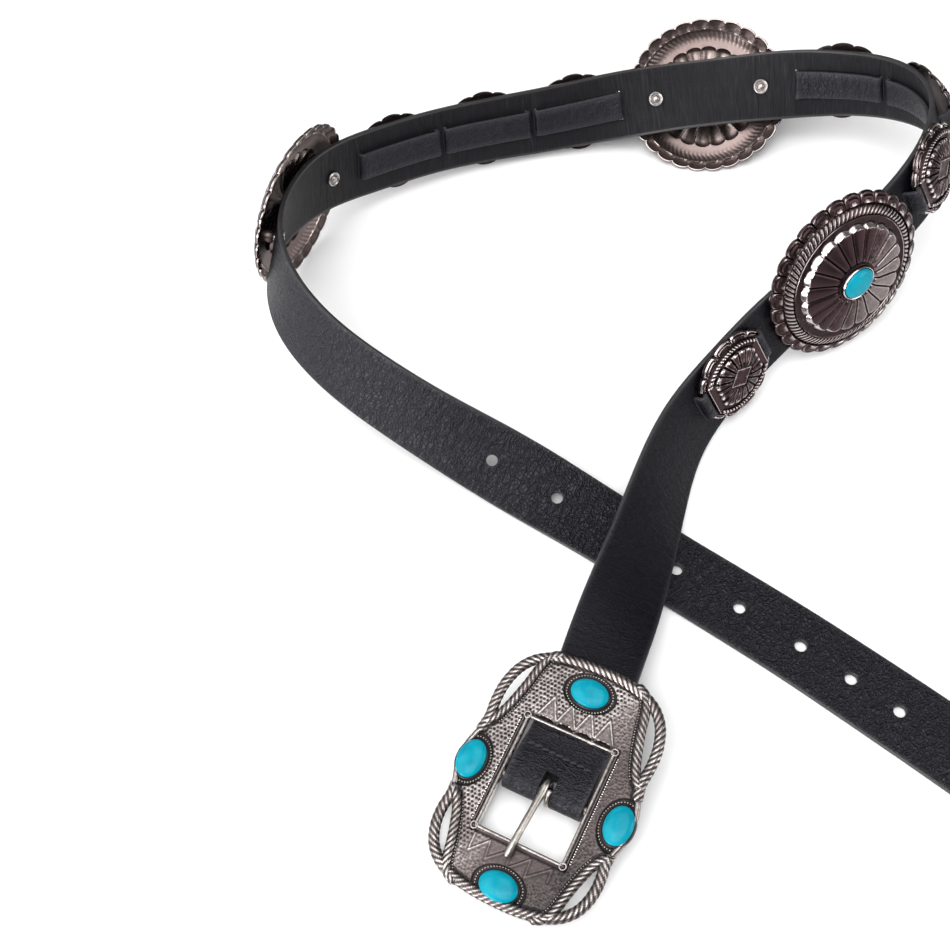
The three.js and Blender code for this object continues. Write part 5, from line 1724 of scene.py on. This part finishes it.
for name, su, sv, along in STONES:
    a, b = (6.55, 4.7) if along == "u" else (4.7, 6.55)
    w = np.linspace(0, 2 * PI, 60, endpoint=False)
    # thin bezel, then a ring of fine beads
    prof_b = [(0.26, -0.4), (0.26, .55), (0.29, .78), (0.35, .88), (0.45, .82), (0.56, .5), (0.66, .18), (0.70, -0.4)]
    ring = np.array([[(a + d) * math.cos(t), (b + d) * math.sin(t), z] for d, z in prof_b for t in w])
    f = grid_faces(len(prof_b), 60, closed_rows=True)
    buckle.add(put(BUCKLE, ring + [su, sv, 0]), f[:, ::-1].tolist(), 0,
               cav=np.repeat([.1, .3, .45, .5, .32, .15, .05, 0], 60))
    seat_d = np.array([[0, 0, .45], [0, 0, -.3]] + [[(a + .3) * math.cos(t), (b + .3) * math.sin(t), z] for z in (.45, -.3) for t in w])
    seat_f = [[0, 2 + i, 2 + (i + 1) % 60] for i in range(60)] + [[1, 62 + (i + 1) % 60, 62 + i] for i in range(60)]
    seat_f += [[2 + i, 62 + i, 62 + (i + 1) % 60, 2 + (i + 1) % 60] for i in range(60)]
    buckle.add(put(BUCKLE, seat_d + [su, sv, 0]), seat_f, 0, cav=0.0)
    ringp = np.array([[su + (a + 1.36) * math.cos(t), sv + (b + 1.36) * math.sin(t)] for t in np.linspace(0, 2 * PI, 24, endpoint=False)])
    keep_z = 0.12
    p, _, _ = resample(ringp, 0.96, closed=True)
    ok = within(p, inset(outline, 1.7))
    ok &= to_points(p, np.concatenate(inner_lines)[::2]) > INNER_R + 0.35
    for q in p[ok]:
        v, f = bead([q[0], q[1], keep_z], 0.38)
        buckle.add(put(BUCKLE, v), f, 0, cav=np.clip(0.02 + 0.85 * (v[:, 2] - keep_z + 0.15) / 0.5, 0, 1))
# beads along the inner ropes and along the side rails
for (su, sv), line in zip(QUARTERS, inner_lines):
    t = unit(np.gradient(line, axis=0))
    off = line - np.stack([t[:, 1], -t[:, 0]], -1) * 2.0 * (1 if su * sv > 0 else -1) * -1
    off = np.where((np.abs(off[:, :1]) < np.abs(line[:, :1])), off, line + (line - off))
    ok = (np.abs(off[:, 1]) > 12.5) & (np.abs(off[:, 0]) < 24)
    q, _, _ = resample(off[ok][::6], 0.92)
    clear = np.ones(len(q), bool)
    for name, cu, cv, along in STONES:
        a, b = (6.55, 4.7) if along == "u" else (4.7, 6.55)
        clear &= np.hypot((q[:, 0] - cu) / (a + 2.6), (q[:, 1] - cv) / (b + 2.6)) > 1
    for p_ in q[clear]:
        v, f = bead([p_[0], p_[1], 0.42], 0.34)
        buckle.add(put(BUCKLE, v), f, 0, cav=np.clip(0.05 + 0.9 * (v[:, 2] - 0.3) / 0.5, 0, 1))
for su in (-1, 1):
    bead_line([(su * 17.35, -17.7), (su * 17.35, -6), (su * 17.35, 6), (su * 17.35, 18.5)], 0.86, 0.30, 0.56)
# the bar that carries the strap and the prong
v, f = tube_mesh([[u_, 0, BAR_N] for u_ in np.linspace(-17.2, 17.2, 30)], BAR_R, 28, up=(0, 0, 1))
buckle.add(put(BUCKLE, v), f, 0, cav=0.7)
buckle.make("buckle_casting", [M_BUCKLE], sharp=55, replaces=["buckle_frame"], slot="buckle_silver")


# ------------------------------------------------- camera, floor and lights
cam_data = bpy.data.cameras.new("camera")
cam_data.lens = 53.02
cam_data.sensor_width = 36.0
cam_data.clip_start = 0.01
cam = bpy.data.objects.new("camera", cam_data)
bpy.context.scene.collection.objects.link(cam)
right = unit(np.array([0.999225, -0.033365, -0.020870]))
fwd = unit(np.array([0.0, 0.530301, -0.847810]))
up_c = unit(np.cross(right, fwd))
rot = Matrix(np.stack([right, up_c, -fwd], -1).tolist()).to_4x4()
rot.translation = Vector((-0.058399, -0.294063, 0.442479))
cam.matrix_world = rot
bpy.context.scene.camera = cam

floor_m, nt, bs = new_material("floor")
k = Net(nt)
tone = k.noise(k.position(), 6.0, 2.0, 0.5)
k.put(bs.inputs["Base Color"], k.mix(tone, rgb(0.93, 0.93, 0.93), rgb(0.95, 0.95, 0.95)))
bs.inputs["Roughness"].default_value = 0.8
bs.inputs["Specular IOR Level"].default_value = 0.1
bpy.ops.mesh.primitive_plane_add(size=8.0, location=(0, 0, -0.0002))
floor = bpy.context.object
floor.name = "floor"
floor.data.materials.append(floor_m)


def area(name, loc, target, size, power, colour=(1, 1, 1), size_y=None):
    d = bpy.data.lights.new(name, "AREA")
    d.energy = power
    d.color = colour
    d.shape = "RECTANGLE"
    d.size = size
    d.size_y = size_y or size
    o = bpy.data.objects.new(name, d)
    o.location = loc
    o.rotation_euler = (Vector(target) - Vector(loc)).to_track_quat("-Z", "Y").to_euler()
    bpy.context.scene.collection.objects.link(o)
    return o


area("top_front", (-0.25, -0.75, 1.45), (0, 0.0, 0.0), 1.1, 17.0, (1, 1, 1), 1.1)
area("left", (-0.98, -0.12, 0.98), (0, 0.05, 0.03), 1.25, 13.0, (1, 0.995, 0.99), 1.25)
area("back_left", (-0.55, 1.15, 0.95), (0, 0.05, 0.03), 1.0, 2.0, (0.98, 0.99, 1), 0.16)
area("zenith", (0.05, 0.05, 1.35), (0.08, 0.05, 0.0), 0.95, 6.5, (1, 1, 1), 0.8)
area("front_low", (-1.15, -1.1, 0.28), (0, 0, 0.02), 0.8, 17.0, (1, 1, 1), 0.45)
area("right", (1.1, -0.35, 0.55), (0.05, 0, 0.03), 0.6, 6.0, (1, 1, 1), 0.9)

world = bpy.data.worlds.new("studio")
bpy.context.scene.world = world
world.use_nodes = True
wn = world.node_tree
wn.nodes.clear()
wk = Net(wn)
wo = wn.nodes.new("ShaderNodeOutputWorld")
bg = wn.nodes.new("ShaderNodeBackground")
wn.links.new(bg.outputs[0], wo.inputs[0])
gen = wn.nodes.new("ShaderNodeTexCoord").outputs["Generated"]
sep = wn.nodes.new("ShaderNodeSeparateXYZ")
wn.links.new(gen, sep.inputs[0])
wk.put(bg.inputs["Color"], wk.ramp(sep.outputs[2], [(0.0, (0.42, 0.42, 0.43)), (0.25, (0.55, 0.55, 0.56)), (0.6, (0.50, 0.50, 0.51)), (1.0, (0.20, 0.20, 0.21))]))
bg.inputs["Strength"].default_value = 0.34
bpy.context.scene.view_settings.view_transform = "Standard"
bpy.context.scene.view_settings.look = "None"
bpy.context.scene.view_settings.exposure = 0.0
